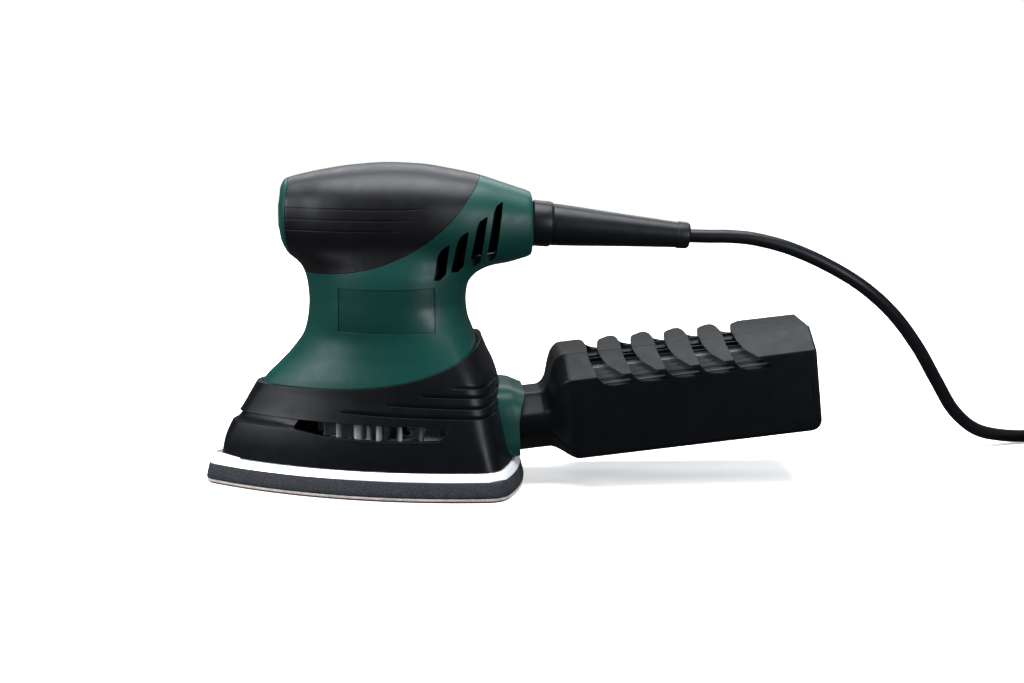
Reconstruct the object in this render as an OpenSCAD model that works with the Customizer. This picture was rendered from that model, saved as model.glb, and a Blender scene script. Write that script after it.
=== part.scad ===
// Detail mouse sander: an orbiting iron-shaped plate under an upright palm-grip motor housing,
// with a clip-on dust box behind and a mains cord.
// Millimetres. Z is up, the sole is z = 0, the motor axis is x = y = 0 and the plate's tip points to -X.

/* [Sanding plate] */
// Length of the iron-shaped plate, tip to rear
plate_l = 147; // [145:0.5:149]
// Width of the plate at its widest
plate_w = 100; // [98:0.5:102]
// Distance from the motor axis to the plate's rear edge
plate_back = 62; // [61.5:0.25:62.5]
// Thickness of the foam pad
foam_t = 7; // [6.5:0.25:7]
// Thickness of the metal base plate
base_t = 3.6; // [3:0.2:3.6]
// Orbit radius of the plate
orbit_r = 0.7; // [0.4:0.1:0.8]

/* [Housing] */
// Wall thickness of the green shells
shell_t = 3.2; // [3:0.1:3.4]
// Thickness of the soft grip layer
grip_t = 1.2; // [1:0.1:1.4]
// Wall thickness of the skirt
skirt_t = 2.4; // [2.2:0.1:2.6]
// Half width of the head at its middle
head_hw = 30; // [29:0.5:31]

/* [Dust box] */
// Upward tilt of the dust box, in degrees
box_tilt = 6; // [6:0.5:7]
// Length of the box from its spigot's shoulder to its rear face
box_l = 135; // [134:0.5:137]
// Half width of the box
box_hw = 28; // [27:0.5:29]
// Wall thickness of the box
box_t = 2; // [1.8:0.1:2.2]
// Number of slots over the filter
slot_count = 5; // [3:1:5]

/* [Motor] */
// Outer radius of the stator
stator_r = 27; // [26:0.5:27]
// Radius of the armature
armature_r = 15.5; // [15:0.25:15.5]
// Radius of the fan
fan_r = 34; // [32:0.5:34]
// Number of fan blades
fan_blades = 20; // [14:1:22]

/* [Cord] */
// Diameter of the mains cord
cord_d = 6.3; // [6:0.1:6.5]
/* [Hidden] */
eps = 0.01;
$fn = 32;

// Heights of the stack under the fan
sheet_t = 0.8;
hook_z = 2;
foam_z = hook_z + foam_t;
base_z = foam_z + base_t;
skirt_z = 13.1;
tip_x = plate_back - plate_l;
plate_tip_r = 8;
plate_corner_r = 11;
plate_rear_r = 110;
plate_wide_x = 42;
base_inset = 2.5;
dust_holes = [
    [-67, 0], [-34, 15], [-34, -15], [-10, 27], [-10, -27], [16, 36], [16, -36], [47, 16], [47, -16]
];
dust_hole_r = 4;
foot_at = [[-50, 0], [33.5, 27.5], [33.5, -27.5]];
foot_r = 5;
foot_z = 16.5;
foot_top_z = 44;

// Motor stack along z
shaft_r = 4;
run_gap = 0.03;
bearing_r = 11;
bearing_w = 7;
hub_z = 21.6;
ecc_bearing_z = 13.2;
bridge_z = 46;
core_z = 62;
core_h = 28;
brush_z = 100;
upper_bearing_z = 112;
shaft_z = 25;
motor_top_z = 119;
commutator_r = 9;
fan_disc_z = 40;
fan_blade_z = 24;

// Sections of the skirt: height, front, rear, half width, tip radius, corner radius, widest x,
// rear radius
SKIRT = [
    [skirt_z, -77.7, 57.5, 46.0, 7.5, 10, 38, 105],
    [20, -76.3, 55.6, 45.2, 8, 10, 36, 105],
    [28, -73.0, 54.0, 44.0, 9, 11, 34, 100],
    [36, -68.6, 52.6, 42.6, 10, 12, 31, 95],
    [44, -64.0, 51.1, 40.8, 11.5, 13, 28, 90],
    [50, -60.2, 49.8, 39.6, 13, 14, 25, 85],
    [56, -52.9, 47.8, 38.0, 15, 15, 21, 80],
    [62, -47.2, 44.9, 36.4, 17, 16, 16, 75],
    [71, -41.2, 41.4, 34.8, 19, 18, 9, 68]
];
// The green column runs down inside the skirt, this far in from its outside
column_in = skirt_t + 0.4;
COLUMN = concat([for (s = SKIRT) if (s[0] >= 44) inset_section(s, column_in)], [
    [78, -36.8, 36.2, 31.7, 18, 17, 4, 60],
    [85, -36.2, 35.5, 31.4, 18.5, 18, 2, 58],
    [92, -36.7, 36.4, 31.3, 18.5, 18, 2, 58],
    [97, -37.7, 38.6, 31.0, 17, 15, 2, 54],
    [102, -39.6, 42.0, 29.8, 14, 11, 1, 44],
    [107, -43.0, 43.0, 27.0, 11, 9, 0, 38],
    [113, -39.0, 39.0, 21.0, 10, 9, 0, 38]
]);
// The cavity goes straight up into the head
CAVITY = concat([for (s = COLUMN) if (s[0] <= 92) inset_section(s, shell_t)], [
    [99, -33.8, 33.2, 27.8, 14, 13, 2, 52],
    [114, -32, 32, 22, 12, 11, 1, 50]
]);
// Sections of the head along x: place, top, bottom, half width
HEAD = [
    [-45.4, 140.8, 107.6, 17.2],
    [-43.6, 141.5, 106.9, 17.9],
    [-38, 143.2, 104.9, 20.6],
    [-29, 145.0, 102.8, 24.4],
    [-15, 147.0, 100.9, 28.2],
    [0, 147.8, 100.0, head_hw],
    [15, 146.9, 99.6, 29.4],
    [30, 144.1, 99.4, 27.0],
    [41, 141.4, 99.7, 23.9],
    [52, 137.8, 101.2, 20.2],
    [60, 135.1, 103.6, 17.2],
    [64, 133.4, 105.6, 15.4],
    [65.6, 131.6, 107.4, 13.6]
];
// Sections of the domed front cap, as for the head
CAP = [
    [-49.6, 126.6, 121.4, 3],
    [-49.3, 131.4, 116.8, 7.6],
    [-48.5, 136.2, 112.2, 12.4],
    [-47.4, 139.5, 109.0, 15.8],
    [-46.2, 141.0, 107.6, 17.4],
    [-44.6, 141.3, 107.2, 17.9]
];
head_power = 2.3;
head_points = 40;

// Screws that join the shells, in x and z, and screws that hold the skirt up to the shells' floor
screw_at = [[-14, 139.4], [39, 133.6], [-30.9, 72], [30.7, 84]];
boss_r = 3.7;
skirt_screw_at = [[-38, 17.5], [-38, -17.5], [43, 23.4], [43, -23.4]];
tab_r = 5.2;
tab_z = 41.5;
floor_z = 44;
floor_t = 2;

// Seams, as the ends and handles of two curves in the xz plane
SKIRT_SEAM = [[-62, 47.6], [-15, 48], [20, 50], [43, 70]];
GRIP_SEAM = [[-42, 100], [5, 102], [22, 118], [42.5, 143]];

// Rocker switch
switch_x = -41;
switch_z = 123;
rocker_rest = -6;

// The outlet's frame: u runs back along the dust box, v is y, w is up
outlet_x = 61.5;
outlet_z = 28;
spigot_l = 14;
neck_w = 42;
neck_h = 26.4;
box_front = 22;
slot_first = 32;
slot_pitch = 15.7;
door_top = 12;
door_hinge = [129.5, -12.2];
door_swing_r = 5.4;
lug_v = 12;
lug_w = 1.4;
filter_from = 29;
filter_to = 122;

// Strain relief
boot_tilt = 5.2;
boot_at = [65.6, 0, 119];
boot_l = 73.5;

// Route of the cord from the strain relief to the coil, then the coil and the plug beside it
CORD = [
    [138.8, 0, 112.3], [148, 0, 112], [158, 0, 111.8], [170, 0, 110.4], [186, 0, 106],
    [204, 0, 98], [222, 2, 87], [238, 7, 73], [252, 14, 56], [264, 22, 38],
    [276, 31, 21], [290, 39, 9.5], [306, 45, 4.6], [324, 48.5, 3.15], [344, 49.5, 3.15], [372, 49.5, 3.15]
];
coil_at = [372, 6];
coil_turn_r = 43.5;
coil_rows = 4;
coil_wide = 3;
TAIL = [
    [415.5, 6, 22.05], [415.5, -4, 21.9], [415.5, -14, 20.6], [415.5, -24, 18.2], [415.5, -34, 15.2],
    [415.5, -43, 13.4], [415.5, -50, 13.05]
];
plug_at = [415.5, -50, 13.05];
pin_pitch = 19;

// ---------- outlines and lofts ----------

function arc(c, r, a0, a1, n) = [for (i = [0:n]) let (a = a0 + (a1 - a0) * i / n) c + r * [cos(a), sin(a)]];

function angle_of(v) = atan2(v[1], v[0]);

// Half of an iron's outline, from its tip to the middle of its rear: tip, side, corner and rear arcs,
// each tangent to the next. No point lies on the middle plane, where the shells part.
function half_iron(front, rear, hw, tip_r, corner_r, wide_x, rear_r, n) =
    let (
        d = wide_x - front - tip_r,
        side_r = (d * d + hw * hw - tip_r * tip_r) / (2 * (hw - tip_r)),
        side_c = [wide_x, hw - side_r],
        tip_c = [front + tip_r, 0],
        rear_c = [rear - rear_r, 0],
        corner_c = far_meet(side_c, side_r - corner_r, rear_c, rear_r - corner_r),
        a_tip = angle_of(tip_c - side_c),
        a_side = angle_of(corner_c - side_c),
        a_rear = angle_of(corner_c - rear_c)
    )
    concat(
        arc(tip_c, tip_r, 180 - (180 - a_tip) / (2 * n + 1), a_tip, n),
        tail_of(arc(side_c, side_r, a_tip, a_side, 2 * n)),
        tail_of(arc(corner_c, corner_r, a_side, a_rear, n)),
        tail_of(arc(rear_c, rear_r, a_rear, a_rear / (2 * n + 1), n))
    );

function tail_of(list) = [for (i = [1:len(list) - 1]) list[i]];

// The crossing of two circles that lies towards +x and +y
function far_meet(c1, r1, c2, r2) =
    let (
        d = norm(c2 - c1),
        u = (c2 - c1) / d,
        a = (r1 * r1 - r2 * r2 + d * d) / (2 * d),
        h = sqrt(r1 * r1 - a * a),
        p = c1 + a * u + h * [-u[1], u[0]],
        q = c1 + a * u - h * [-u[1], u[0]]
    )
    p[0] + p[1] > q[0] + q[1] ? p : q;

function iron(front, rear, hw, tip_r, corner_r, wide_x, rear_r, n = 4) =
    let (half = half_iron(front, rear, hw, tip_r, corner_r, wide_x, rear_r, n))
    concat(half, [for (i = [len(half) - 1:-1:0]) [half[i][0], -half[i][1]]]);

function plate_outline(inset) = iron(
    tip_x + inset, plate_back - inset, plate_w / 2 - inset, plate_tip_r - inset,
    plate_corner_r - inset, plate_wide_x, plate_rear_r - inset, 6
);

function inset_section(s, t) = [s[0], s[1] + t, s[2] - t, s[3] - t, s[4] - t, s[5] - t, s[6], s[7] - t];

function section_ring(s) = [for (p = iron(s[1], s[2], s[3], s[4], s[5], s[6], s[7])) [p[0], p[1], s[0]]];

function power(v, e) = sign(v) * pow(abs(v), e);

function head_ring(h) =
    let (mid = (h[1] + h[2]) / 2, half = (h[1] - h[2]) / 2, e = 2 / head_power)
    [for (i = [0:head_points - 1]) let (a = 360 * (i + 0.5) / head_points)
        [h[0], h[3] * power(sin(a), e), mid + half * power(cos(a), e)]];

function inset_head(h, t) = [
    max(HEAD[0][0] + t, min(HEAD[len(HEAD) - 1][0] - t, h[0])), h[1] - t, h[2] + t, h[3] - t
];

// A closed loft through rings of points, each ring clockwise as seen from its far end
module loft(rings) {
    n = len(rings[0]);
    m = len(rings);
    sides = [for (k = [0:m - 2], i = [0:n - 1])
        each let (a = k * n + i, b = k * n + (i + 1) % n) [[a, b, b + n], [a, b + n, a + n]]];
    caps = [[for (i = [n - 1:-1:0]) i], [for (i = [0:n - 1]) (m - 1) * n + i]];
    polyhedron([for (r = rings) each r], concat(sides, caps));
}

module column_body(t) {
    loft([for (s = COLUMN) section_ring(inset_section(s, t))]);
}

module head_body(t) {
    loft([for (h = HEAD) if (h[3] > t + 1) head_ring(inset_head(h, t))]);
}

module housing_body(t) {
    head_body(t);
    column_body(t);
}

// What the grip lies on: the housing less the grip's thickness, but as long as the housing in front
module grip_bed() {
    h = HEAD[0];
    loft(concat(
        [head_ring([h[0] - 2, h[1] - grip_t, h[2] + grip_t, h[3] - grip_t])],
        [for (h = HEAD) head_ring([h[0], h[1] - grip_t, h[2] + grip_t, h[3] - grip_t])]
    ));
    column_body(grip_t);
}

module housing_cavity() {
    head_body(shell_t);
    loft([for (s = CAVITY) section_ring(s)]);
}

module skirt_body(t) {
    loft([for (s = SKIRT) section_ring(inset_section(s, t))]);
}

function bezier(p, n) = [for (i = [0:n]) let (t = i / n, s = 1 - t)
    s * s * s * p[0] + 3 * s * s * t * p[1] + 3 * s * t * t * p[2] + t * t * t * p[3]];

// Everything above a seam curve, from its first point's side forward to its last point's side back
module above(seam, front, rear, top) {
    curve = bezier(seam, 12);
    across(120)
        polygon(concat([[front, curve[0][1]]], curve, [[rear, curve[12][1]], [rear, top], [front, top]]));
}

// Everything above the grip's seam and in front of it
module above_grip_seam() {
    curve = bezier(GRIP_SEAM, 12);
    front = HEAD[0][0] - 1;
    across(120)
        polygon(concat([[front, curve[0][1]]], curve, [[curve[12][0] + 2, 160], [front, 160]]));
}

// Turns a drawing in x and z into a slab of that width across y
module across(width) {
    translate([0, width / 2, 0]) rotate([90, 0, 0]) linear_extrude(width) children();
}

// Turns a drawing in v and w into a bar along u
module along(from, to) {
    translate([from, 0, 0]) rotate([90, 0, 90]) linear_extrude(to - from) children();
}

module outlet_frame() {
    translate([outlet_x, 0, outlet_z]) rotate([0, -box_tilt, 0]) children();
}

module boot_frame() {
    translate(boot_at) rotate([0, boot_tilt, 0]) children();
}

// A rectangle with round corners
function round_rect(w, h, r) = let (x = w / 2 - r, y = h / 2 - r) concat(
    arc([x, y], r, 0, 90, 5), arc([-x, y], r, 90, 180, 5),
    arc([-x, -y], r, 180, 270, 5), arc([x, -y], r, 270, 360, 5)
);

module neck_outline(t) {
    polygon(round_rect(neck_w - 2 * t, neck_h - 2 * t, 11 - t));
}

module half_space(side) {
    translate([-150, side > 0 ? 0 : -100, -10]) cube([300, 100, 200]);
}

module ring(r_out, r_in, z, h) {
    translate([0, 0, z]) difference() {
        cylinder(r = r_out, h = h);
        translate([0, 0, -1]) cylinder(r = r_in, h = h + 2);
    }
}

module at_each(points) {
    for (p = points) translate(p) children();
}

// ---------- housing ----------

// Ribs inside the shells that hold the bridge, the stator, the brush carrier and the upper bearing
module shell_ribs() {
    for (z = [floor_z, bridge_z + 3]) ring(70, 27.8, z, floor_t);
    for (z = [core_z + 4, core_z + core_h - 7]) ring(70, stator_r + 0.4, z, 2.4);
    difference() {
        translate([-11, -60, upper_bearing_z - 1]) cube([22, 120, 9]);
        cylinder(r = bearing_r + 1.8, h = 200);
    }
    at_each([for (s = screw_at) [s[0], 0, s[1]]])
        rotate([90, 0, 0]) cylinder(r = boss_r, h = 120, center = true, $fn = 16);
    for (x = [47, 57]) translate([x, -40, 95]) cube([2, 80, 50]);
}

module vent_cuts() {
    vents = [
        [[20.1, 96.4], [22.7, 96.2], [25.7, 98.9], [27.4, 112.7], [23.5, 109.9], [21.8, 106.8]],
        [[28, 99.5], [31.1, 99.3], [33.6, 101.7], [35.8, 118.4], [32.5, 116.4], [30.8, 113.5]],
        [[36.4, 101.5], [39.5, 101.5], [41.4, 103.7], [44.5, 124.8], [40.9, 122.6], [39.5, 119.7]],
        [[43.7, 103.2], [46.2, 103.2], [48.4, 105.4], [51.7, 130.9], [48.7, 129], [47.3, 126.1]]
    ];
    for (v = vents, y = [-40, 40])
        translate([0, y, 0]) across(54) polygon(v);
}

module label_box(side) {
    translate([-22.4, side > 0 ? 20 : -60, 74]) cube([43, 40, 20]);
}

module switch_opening() {
    translate([-60, -6.2, switch_z - 10]) cube([24, 12.4, 20]);
}

module shell_half(side) {
    color([0.12, 0.28, 0.25]) resize([0, 0, 0]) difference() {
        intersection() {
            housing_body(0);
            half_space(side);
        }
        difference() {
            housing_cavity();
            shell_ribs();
        }
        at_each(skirt_screw_at) translate([0, 0, floor_z - 1]) cylinder(r = 1.6, h = floor_t + 1.5, $fn = 16);
        intersection() {
            difference() {
                housing_body(-1);
                grip_bed();
            }
            above_grip_seam();
        }
        vent_cuts();
        switch_opening();
        boot_frame() rotate([0, 90, 0]) translate([0, 0, -20]) cylinder(r = 6.5, h = 30);
        boot_frame() rotate([0, 90, 0]) translate([0, 0, -20]) cylinder(r = 9.2, h = 16.8);
        boot_frame() rotate([0, 90, 0]) cylinder(r = 10.8, h = 10);
        shell_screw_cuts();
        if (side < 0) difference() {
            label_box(side);
            column_body(0.5);
        }
    }
}

// Screws enter from the right-hand shell
module shell_screw_cuts() {
    at_each([for (s = screw_at) [s[0], 0, s[1]]]) {
        rotate([90, 0, 0]) translate([0, 0, -60]) cylinder(r = 1.7, h = 69, $fn = 16);
        rotate([-90, 0, 0]) translate([0, 0, 7]) cylinder(r = 2.8, h = 60, $fn = 16);
    }
}

module housing_left() {
    shell_half(-1);
}

module housing_right() {
    shell_half(1);
}

module grip_half(side) {
    color([0.09, 0.09, 0.1]) resize([0, 0, 0]) difference() {
        intersection() {
            housing_body(0);
            above_grip_seam();
            half_space(side);
        }
        grip_bed();
        shell_screw_cuts();
    }
}

module grip_left() {
    grip_half(-1);
}

module grip_right() {
    grip_half(1);
}

module front_cap() {
    color([0.12, 0.28, 0.25]) resize([0, 0, 0]) difference() {
        loft([for (c = CAP) head_ring(c)]);
        translate([HEAD[0][0], -50, 90]) cube([20, 100, 60]);
        switch_opening();
    }
}

module name_plate() {
    color([0.07, 0.2, 0.18]) resize([0, 0, 0]) difference() {
        intersection() {
            column_body(0.1);
            translate([-22.2, -60, 74.2]) cube([42.6, 40, 19.6]);
        }
        column_body(0.5);
    }
}

module housing_screws() {
    color("silver") at_each([for (s = screw_at) [s[0], 0, s[1]]]) rotate([-90, 0, 0]) {
        translate([0, 0, 7]) cylinder(r = 2.6, h = 2);
        translate([0, 0, -8]) cylinder(r = 1.6, h = 15);
    }
}

// ---------- skirt and collar ----------

module skirt_windows() {
    across(120) polygon([[-44, 29.4], [-40.6, 33.8], [26.6, 33.2], [22, 27.4], [-32, 28]]);
}

module collar_outline(t) {
    polygon(round_rect(neck_w + 3 - 2 * t, neck_h + 1.4 - 2 * t, 12 - t));
}

module skirt() {
    color([0.1, 0.11, 0.12]) resize([0, 0, 0]) difference() {
        skirt_body(0);
        difference() {
            skirt_inside();
            at_each(skirt_screw_at) translate([0, 0, tab_z]) cylinder(r = tab_r, h = floor_z - tab_z);
        }
        above(SKIRT_SEAM, -100, 100, 120);
        skirt_windows();
        outlet_frame() along(-30, 10) collar_outline(-0.1);
        at_each(skirt_screw_at) cylinder(r = 1.6, h = 60, $fn = 16);
    }
}

// Room inside the skirt
module skirt_inside() {
    loft(concat(
        [section_ring(concat([skirt_z - 1], tail_of(inset_section(SKIRT[0], skirt_t))))],
        [for (s = SKIRT) section_ring(inset_section(s, skirt_t))],
        [section_ring(concat([73], tail_of(inset_section(SKIRT[8], skirt_t))))]
    ));
}

module skirt_screws() {
    color("silver") at_each([for (p = skirt_screw_at) [p[0], p[1], tab_z]]) {
        translate([0, 0, -2]) cylinder(r = 2.5, h = 2);
        cylinder(r = 1.5, h = 4.5);
    }
}

module exhaust_collar() {
    color([0.12, 0.28, 0.25]) difference() {
        outlet_frame() along(-16, 0) collar_outline(0);
        outlet_frame() along(-17, 1) neck_outline(2.4);
        translate([30, -40, 0]) cube([40, 80, skirt_z]);
    }
}

// ---------- switch, wiring and cord entry ----------

module switch_body() {
    color([0.15, 0.15, 0.16]) difference() {
        translate([switch_x - 1.2, -8, switch_z - 11]) cube([20, 16, 22]);
        translate([switch_x - 3, -6, switch_z - 9.6]) cube([8, 12, 19.2]);
        translate([switch_x, 0, switch_z]) rotate([90, 0, 0]) cylinder(r = 1.05, h = 30, center = true);
    }
}

module rocker() {
    color([0.05, 0.05, 0.05]) translate([switch_x, 0, switch_z]) rotate([0, rocker_rest, 0]) {
        across(11) polygon([[-5, -8.6], [-4, 0], [-5, 8.6], [-3.2, 8.8], [2, 3], [2, -3], [-3.2, -8.8]]);
        rotate([90, 0, 0]) cylinder(r = 1, h = 15, center = true);
    }
}

module suppressor() {
    color([0.7, 0.6, 0.2]) translate([-16, -9, 122.5]) cube([18, 18, 10]);
}

module terminal_block() {
    color([0.85, 0.85, 0.8]) difference() {
        translate([16, -8, 118]) cube([14, 16, 9]);
        for (y = [-4, 4]) translate([20, y, 120]) cylinder(r = 1.6, h = 10);
    }
}

module cord_clamp() {
    color([0.12, 0.12, 0.12]) difference() {
        translate([49, -10, 122.2]) cube([6, 20, 4]);
        for (y = [-7, 7]) translate([52, y, 110]) cylinder(r = 1.6, h = 30);
    }
}

module clamp_screws() {
    color("silver") for (y = [-7, 7]) translate([52, y, 0]) {
        translate([0, 0, 126.2]) cylinder(r = 2.8, h = 1.6);
        translate([0, 0, 118]) cylinder(r = 1.5, h = 8.2);
    }
}

module strain_relief() {
    color([0.08, 0.08, 0.09]) boot_frame() rotate([0, 90, 0]) rotate_extrude() polygon([
        [0, -10], [5.8, -10], [5.8, -6.4], [9, -6.4], [9, -3.6], [6.4, -3.6], [6.4, 0.1],
        [10.5, 0.3], [10.5, 9], [9.9, 10.2], [9.2, 21], [7.6, 42], [6.1, 66], [6, 71],
        [5.7, boot_l], [0, boot_l]
    ]);
}

// ---------- cord ----------

// A smooth curve through the route's points, with this many steps between each pair
function smooth(p, steps) = concat(
    [for (i = [0:len(p) - 2], k = [0:steps - 1])
        let (a = p[max(i - 1, 0)], b = p[i], c = p[i + 1], d = p[min(i + 2, len(p) - 1)], t = k / steps)
        0.5 * ((2 * b) + (c - a) * t + (2 * a - 5 * b + 4 * c - d) * t * t
            + (3 * b - a - 3 * c + d) * t * t * t)],
    [p[len(p) - 1]]
);

function unit(v) = v / norm(v);

module cord_sweep(route, sides = 10) {
    n = len(route);
    rings = [for (i = [0:n - 1])
        let (
            t = unit(route[min(i + 1, n - 1)] - route[max(i - 1, 0)]),
            side = unit(cross(t, abs(t[2]) > 0.9 ? [1, 0, 0] : [0, 0, 1])),
            up = cross(side, t)
        )
        [for (k = [0:sides - 1]) let (a = 360 * k / sides)
            route[i] + cord_d / 2 * (cos(a) * side + sin(a) * up)]];
    loft(rings);
}

module cord_tube() {
    color([0.1, 0.1, 0.11]) cord_sweep(smooth(CORD, 2));
}

module cord_coil() {
    low = cord_d / 2;
    wide = coil_wide * cord_d;
    high = coil_rows * cord_d;
    outer = coil_turn_r + low;
    color([0.1, 0.1, 0.11]) translate([coil_at[0], coil_at[1], 0]) rotate_extrude() polygon([
        [outer, low], [outer - 1, 0], [outer - wide + 1, 0], [outer - wide, low],
        [outer - wide, high - low], [outer - wide + 2, high], [outer - 2, high], [outer, high - low]
    ]);
}

module cord_tail() {
    color([0.1, 0.1, 0.11]) cord_sweep(smooth(TAIL, 2));
}

module plug_body() {
    color([0.08, 0.08, 0.09]) translate(plug_at) rotate([90, 0, 0]) hull() {
        translate([0, 0, 16]) linear_extrude(26) polygon(round_rect(35.4, 26, 12.9));
        cylinder(r = 6.5, h = 4);
    }
}

module plug_pins() {
    color("silver") for (x = [-pin_pitch / 2, pin_pitch / 2])
        translate([plug_at[0] + x, plug_at[1] - 42, plug_at[2]]) rotate([90, 0, 0]) cylinder(r = 2.4, h = 19);
}

// ---------- motor, fixed ----------

module stator_core() {
    color([0.55, 0.56, 0.58]) translate([0, 0, core_z]) linear_extrude(core_h) difference() {
        circle(r = stator_r, $fn = 64);
        circle(r = armature_r + 0.7, $fn = 64);
        for (a = [0, 180]) rotate(a) coil_window(25.2, 24.6);
    }
}

// A sector where a field coil passes through the core
module coil_window(half_angle, r_out) {
    r_in = armature_r + 1.6;
    polygon(concat(
        arc([0, 0], r_out, -half_angle, half_angle, 10), arc([0, 0], r_in, half_angle, -half_angle, 10)
    ));
}

module field_coils() {
    color([0.72, 0.36, 0.16]) {
        for (z = [core_z - 6.3, core_z + core_h + 0.1]) ring(24.3, armature_r + 1.9, z, 6.2);
        for (a = [0, 180]) rotate(a) translate([0, 0, core_z - 1]) linear_extrude(core_h + 2)
            polygon(concat(arc([0, 0], 24.2, -24, 24, 10), arc([0, 0], armature_r + 2, 24, -24, 10)));
    }
}

module bearing_bridge() {
    color([0.2, 0.2, 0.21]) difference() {
        union() {
            translate([0, 0, bridge_z]) cylinder(r = 29.8, h = 3);
            translate([0, 0, bridge_z]) cylinder(r = bearing_r + 2.2, h = 9);
        }
        translate([0, 0, bridge_z + 1.4]) cylinder(r = bearing_r, h = 10);
        cylinder(r = shaft_r + 3, h = 200);
        for (a = [30:60:330]) rotate(a) translate([22, 0, 0]) cylinder(r = 5.5, h = 200);
    }
}

// A ball bearing: two rings, and a shield that ties them together
module bearing(r_in, r_out, w) {
    difference() {
        cylinder(r = r_out, h = w);
        translate([0, 0, -1]) cylinder(r = r_in, h = w + 2);
        for (z = [-1, w - 0.5]) ring_groove(r_in + 1.6, r_out - 1.6, z);
    }
}

module ring_groove(r_in, r_out, z) {
    ring(r_out, r_in, z, 1.5);
}

module lower_bearing() {
    color("silver") translate([0, 0, bridge_z + 1.4]) bearing(shaft_r + run_gap, bearing_r, bearing_w);
}

module upper_bearing() {
    color("silver") translate([0, 0, upper_bearing_z]) bearing(shaft_r + run_gap, 9.5, 6);
}

module bearing_bush() {
    color([0.1, 0.1, 0.1]) ring(bearing_r + 1.5, 9.5, upper_bearing_z, 6);
}

module brush_carrier() {
    color([0.35, 0.2, 0.12]) difference() {
        ring(26.8, 11.5, brush_z - 2.4, 2.4);
        for (a = [0, 180]) rotate(a) translate([20, 0, 0]) cylinder(r = 4, h = 200);
    }
}

module brush_holders() {
    color([0.85, 0.7, 0.35]) for (s = [-1, 1]) difference() {
        translate([-4.6, s > 0 ? 10.4 : -23, brush_z]) cube([9.2, 12.6, 8]);
        translate([-3.9, s > 0 ? 5 : -45, brush_z + 0.7]) cube([7.8, 40, 6.6]);
    }
}

module carbon_brushes() {
    color([0.2, 0.2, 0.2]) for (s = [-1, 1]) difference() {
        translate([-3.8, s > 0 ? 5 : -17, brush_z + 0.8]) cube([7.6, 12, 6.4]);
        cylinder(r = commutator_r + 0.05, h = 200);
    }
}

// Flat spiral springs that press on the brushes' ends
module brush_springs() {
    turns = 2.5;
    steps = 40;
    outside = [for (i = [0:steps]) spiral_point(turns * i / steps, 0.8 + 1.8 * i / steps)];
    inside = [for (i = [steps:-1:0]) spiral_point(turns * i / steps, 0.4 + 1.8 * i / steps)];
    color("silver") for (s = [-1, 1])
        translate([0, s * 19.7, brush_z + 1]) rotate(s > 0 ? 180 : 0) linear_extrude(6)
            polygon(concat(outside, inside));
}

function spiral_point(turn, r) = r * [cos(360 * turn), sin(360 * turn)];

// Elastic feet that carry the plate and let it orbit
module flex_feet() {
    color([0.15, 0.15, 0.15]) at_each([for (p = foot_at) [p[0], p[1], foot_z]]) rotate_extrude() polygon([
        [0, 0], [foot_r, 0], [foot_r, 4], [foot_r - 1.2, 8], [foot_r - 1.2, foot_top_z - foot_z - 8],
        [foot_r, foot_top_z - foot_z - 4], [foot_r, foot_top_z - foot_z], [0, foot_top_z - foot_z]
    ]);
}

// ---------- motor, turning ----------

module shaft() {
    color("silver") translate([0, 0, shaft_z]) cylinder(r = shaft_r, h = motor_top_z - shaft_z);
}

module armature_core() {
    color([0.5, 0.5, 0.52]) translate([0, 0, core_z]) linear_extrude(core_h) difference() {
        circle(r = armature_r, $fn = 64);
        circle(r = shaft_r);
        for (i = [0:11]) rotate(30 * i) translate([armature_r - 4.5, -0.8]) square([5, 1.6]);
    }
}

module armature_winding() {
    color([0.75, 0.4, 0.18]) for (z = [core_z - 5.6, core_z + core_h])
        ring(13.5, shaft_r, z, 5.6);
}

module commutator() {
    color([0.8, 0.5, 0.25]) translate([0, 0, core_z + core_h + 5.6]) linear_extrude(13) difference() {
        circle(r = commutator_r, $fn = 48);
        circle(r = shaft_r);
        for (i = [0:11]) rotate(30 * i) translate([commutator_r - 0.8, -0.2]) square([2, 0.4]);
    }
}

module fan() {
    color([0.8, 0.82, 0.84]) difference() {
        union() {
            translate([0, 0, fan_disc_z]) cylinder(r = fan_r, h = 1.6);
            translate([0, 0, fan_disc_z - 5]) cylinder(r = 8.5, h = 9);
            for (i = [0:fan_blades - 1]) rotate(360 * i / fan_blades + 8)
                translate([24, -0.6, fan_blade_z]) cube([fan_r - 24.6, 1.2, fan_disc_z - fan_blade_z + eps]);
        }
        cylinder(r = shaft_r, h = 200);
    }
}

module eccentric() {
    color([0.45, 0.46, 0.48]) difference() {
        union() {
            translate([orbit_r, 0, ecc_bearing_z - 0.2]) cylinder(r = shaft_r - run_gap, h = 9.4);
            translate([0, 0, 22.2]) cylinder(r = 8, h = fan_disc_z - 5 - 22.2);
            translate([0, 0, 22.4]) intersection() {
                cylinder(r = 21.5, h = 7);
                translate([-30, -30, 0]) cube([30, 60, 10]);
            }
        }
        translate([0, 0, shaft_z]) cylinder(r = shaft_r, h = 30);
        translate([orbit_r, 0, 0]) cylinder(r = 2.1, h = 22);
    }
}

module pad_screw() {
    color("silver") translate([orbit_r, 0, 0]) {
        translate([0, 0, 9.6]) cylinder(r = 5, h = 3.3);
        translate([0, 0, 12]) cylinder(r = 2.1, h = 9.4);
    }
}

// ---------- pad ----------

module plate_layer(inset, z, h, hole_r) {
    translate([0, 0, z]) linear_extrude(h) difference() {
        polygon(plate_outline(inset));
        for (p = dust_holes) translate(p) circle(r = hole_r);
    }
}

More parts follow.
